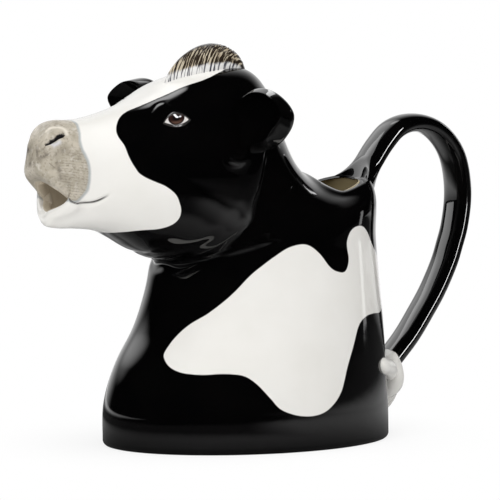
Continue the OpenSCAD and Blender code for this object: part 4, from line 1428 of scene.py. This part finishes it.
def lock_rings(places, sizes):
    """Rings of one lock: an oval swept along a curve through a few places, closed at both ends.
    The sizes are its half width and half thickness at each place."""
    table = np.column_stack([places, sizes])
    turn = np.linspace(0, 2 * np.pi, lock_columns, endpoint=False)
    f = (1 - np.cos(np.linspace(0, np.pi, lock_row_count))) / 2
    row = smooth_rows(table, f * (len(table) - 1))
    ahead = np.gradient(row[:, :3], axis=0)
    ahead /= np.linalg.norm(ahead, axis=1)[:, None]
    out = lock_out - ahead * (ahead @ lock_out)[:, None]
    out /= np.linalg.norm(out, axis=1)[:, None]
    across = np.cross(ahead, out)
    near_end = np.clip(np.minimum(f, 1 - f) / round_share, 0, 1)
    swell = np.sqrt(np.clip(1 - (1 - near_end) ** 2, least_square, 1))
    return (row[:, None, :3] + across[:, None] * (row[:, 3] * swell)[:, None, None] * np.cos(turn)[:, None]
            + out[:, None] * (row[:, 4] * swell)[:, None, None] * np.sin(turn)[:, None])


tuft_parts = []
for i in range(tuft_locks):
    side = 2 * i / (tuft_locks - 1) - 1
    drop = tuft_height * (1 - shorter_share * side ** 2)
    end_y = side * tuft_spread * end_share
    stagger = lock_stagger if i % 2 else 0.0
    crown = tuft_top + crown_shift
    crown[1] = side * strap_width * crown_share
    before = crown + start_shift
    before[1] = crown[1] * start_share
    belly = [(crown[0] + wall_point(end_y, belly_height)) / 2 + belly_bulge - stagger, end_y * belly_share,
             tuft_top[2] - drop / 2]
    tip_z = tuft_top[2] - drop
    tip = [wall_point(end_y, tip_z) - tip_depth, end_y, tip_z]
    tuft_parts.append(lock_rings([before, crown, belly, tip], lock_sizes))
for side in (-1, 1):
    places = [tuft_top + side_root_shift * np.array([1, side, 1])]
    for across, above, off in side_places:
        y = side * across * mm
        z = tuft_top[2] + above * mm
        places.append([wall_point(y, z) + off * mm, y, z])
    tuft_parts.append(lock_rings(places, side_sizes))
tuft_points = []
tuft_faces = []
for rings in tuft_parts:
    flat, faces = closed_tube(rings)
    tuft_faces.append(faces + sum(len(p) for p in tuft_points))
    tuft_points.append(flat)
tuft_flat = np.concatenate(tuft_points)
tuft_faces = np.concatenate(tuft_faces)
white_glaze, _ = mottled_glaze("white_glaze", white_grain, white_paint, (0.78, 0.765, 0.72, 1), spread=0.3)
tuft = make_piece("tuft_hair", tuft_flat, tuft_faces, [white_glaze])
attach(tuft, "root")
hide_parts("tail_tuft")


# Forelock: a mound of combed hair on the poll, with strands that slant forwards and down
# It is painted in brown strokes on cream, and its fringe in grey on the white blaze. Its top carries a
# painted sheen in dark grey.
hair_middle = np.array([14.0, 0.0])
hair_edge = np.array([
    [1.50, 0], [1.30, 3.5], [1.02, 7.5], [0.66, 11.8], [0.22, 14.6], [-0.25, 14.0], [-0.68, 11.0],
    [-0.94, 7.5], [-1.07, 3.6], [-1.10, 0]])
hair_outline = np.vstack([hair_edge, (hair_edge[-2:0:-1]) * np.array([1, -1])])
hair_columns = 256
edge_ring_count = 12
mound_ring_count = 56
edge_ring_share = 0.9
crown_ring_share = 0.02
hair_height = 6.9 * mm
hair_depth = 0.25 * mm
skirt_depth = 1.4 * mm
# The mound's section, how much lower it is at the back, and its lean forwards
mound_power = 2.1
mound_round = 0.66
back_fall_share = 0.22
back_stations = 1.4
hair_lean_share = 0.06
# The strands: pitch, height, a finer ripple over them, their slant, and waves along them
strand_pitch = 0.8 * mm
strand_height = 0.13 * mm
ripple_height = 0.05 * mm
ripple_pace = 1.7
hair_slant = np.radians(59.0)
wander_waves = ((0.55, 0.55, 0.35), (0.25, 1.3, -0.8))
smooth_share = 0.12
strand_onset = 3
fringe_share = 0.10
fringe_stations = 0.9
hair_ring = closed_row(hair_outline, hair_columns)
hair_rows = []
hair_rho = np.concatenate([np.linspace(1, edge_ring_share, edge_ring_count)[:-1],
                           np.linspace(edge_ring_share, crown_ring_share, mound_ring_count)])
for q in hair_rho:
    place = hair_middle + hair_ring * q
    base = plain_skin(place[:, 0], place[:, 1])
    back = np.clip(-hair_ring[:, 0] / back_stations, 0, 1) * q
    mound = np.clip(1 - q ** mound_power, 0, 1) ** mound_round * (1 - back_fall_share * back)
    rise = hair_height * mound - hair_depth
    hair_rows.append(base + rise[:, None] * np.array([hair_lean_share, 0, 1]))
hair_rows = np.array(hair_rows)
off_middle = np.abs(hair_rows[..., 1])
strand_q = (hair_rows[..., 0] * np.cos(hair_slant) + off_middle * np.sin(hair_slant)) / mm
strand_p = (off_middle * np.cos(hair_slant) - hair_rows[..., 0] * np.sin(hair_slant)) / mm
wander = sum(high * np.sin(strand_p * by_p + strand_q * by_q) for high, by_p, by_q in wander_waves)
phase = 2 * np.pi * (strand_q + wander) / (strand_pitch / mm)
q_grid = hair_rho[:, None]
fringe_at = q_grid - fringe_share * np.clip(-hair_ring[:, 0] / fringe_stations, 0, 1) ** 2
strand_share = np.clip((q_grid - smooth_share) * strand_onset, 0, 1)
strands = strand_height * np.cos(phase) + ripple_height * np.cos(phase * ripple_pace + strand_p)
hair_rows[..., 2] += strands * strand_share
hair_rows = np.concatenate([hair_rows[:1] - np.array([0, 0, skirt_depth]), hair_rows])
hair_flat, hair_faces = closed_tube(hair_rows, True)


def with_ends(values):
    """Values of a grid of rings as its closed tube needs them: one more ring and two ends."""
    return np.concatenate([values[:1].ravel(), values.ravel(), [values[0].mean(), values[-1].mean()]])


# Paints of the forelock and its fringe, and the levels of noise between which they change
cream_grain = (300.0, 0.35, 0.65)
cream_paint = (0.60, 0.53, 0.40, 1)
cream_deep = (0.42, 0.35, 0.25, 1)
brown_stroke = (0.028, 0.020, 0.013, 1)
brown_levels = (0.40, 0.50)
fringe_edge = ("fringe", 0.925, 0.985, 0.09, 500.0)
fringe_paint = (0.80, 0.79, 0.77, 1)
grey_stroke = (0.05, 0.05, 0.07, 1)
grey_levels = (0.48, 0.60)
# The painted sheen on the top: its grey, and how far up the surface faces where it starts and is full
top_sheen_paint = (0.10, 0.095, 0.095, 1)
top_sheen_levels = (0.74, 0.92)
# The noise is drawn out along the strands
stretches = (("strand_q", 2.9), ("strand_p", 0.26))
hair_glaze = new_material("hair_glaze")
hair_tree, hair_shader = glazed(hair_glaze)
strand_place = hair_tree.nodes.new("ShaderNodeCombineXYZ")
for axis, (attribute, stretch) in enumerate(stretches):
    join(hair_tree, worked(hair_tree, "MULTIPLY", stored(hair_tree, attribute), stretch),
         strand_place.inputs[axis])
strokes = add(hair_tree, "ShaderNodeTexNoise", scale=1.0, detail=3.0)
join(hair_tree, strand_place.outputs[0], strokes.inputs["Vector"])
cream = blend(hair_tree, mottled(hair_tree, *cream_grain), cream_paint, cream_deep)
brown = ramp(hair_tree, strokes.outputs["Fac"], *brown_levels)
grey = ramp(hair_tree, strokes.outputs["Fac"], *grey_levels)
hair_colour = blend(hair_tree, brown, cream, brown_stroke)
hair_colour = blend(hair_tree, edge_mask(hair_tree, *fringe_edge), hair_colour,
                    blend(hair_tree, grey, fringe_paint, grey_stroke))
# Painted reflection: where the forelock faces up, its strokes are covered with an even dark grey for the
# glaze's sheen on its top
hair_facing = hair_tree.nodes.new("ShaderNodeNewGeometry")
hair_turn = hair_tree.nodes.new("ShaderNodeSeparateXYZ")
join(hair_tree, hair_facing.outputs["Normal"], hair_turn.inputs[0])
crown = ramp(hair_tree, hair_turn.outputs["Z"], *top_sheen_levels)
join(hair_tree, blend(hair_tree, crown, hair_colour, top_sheen_paint), hair_shader.inputs["Base Color"])
forelock = make_piece("forelock_hair", hair_flat, hair_faces, [hair_glaze], None,
                      {"strand_q": with_ends(strand_q), "strand_p": with_ends(strand_p),
                       "fringe": with_ends(fringe_at)})
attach(forelock, "root")
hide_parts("forelock")
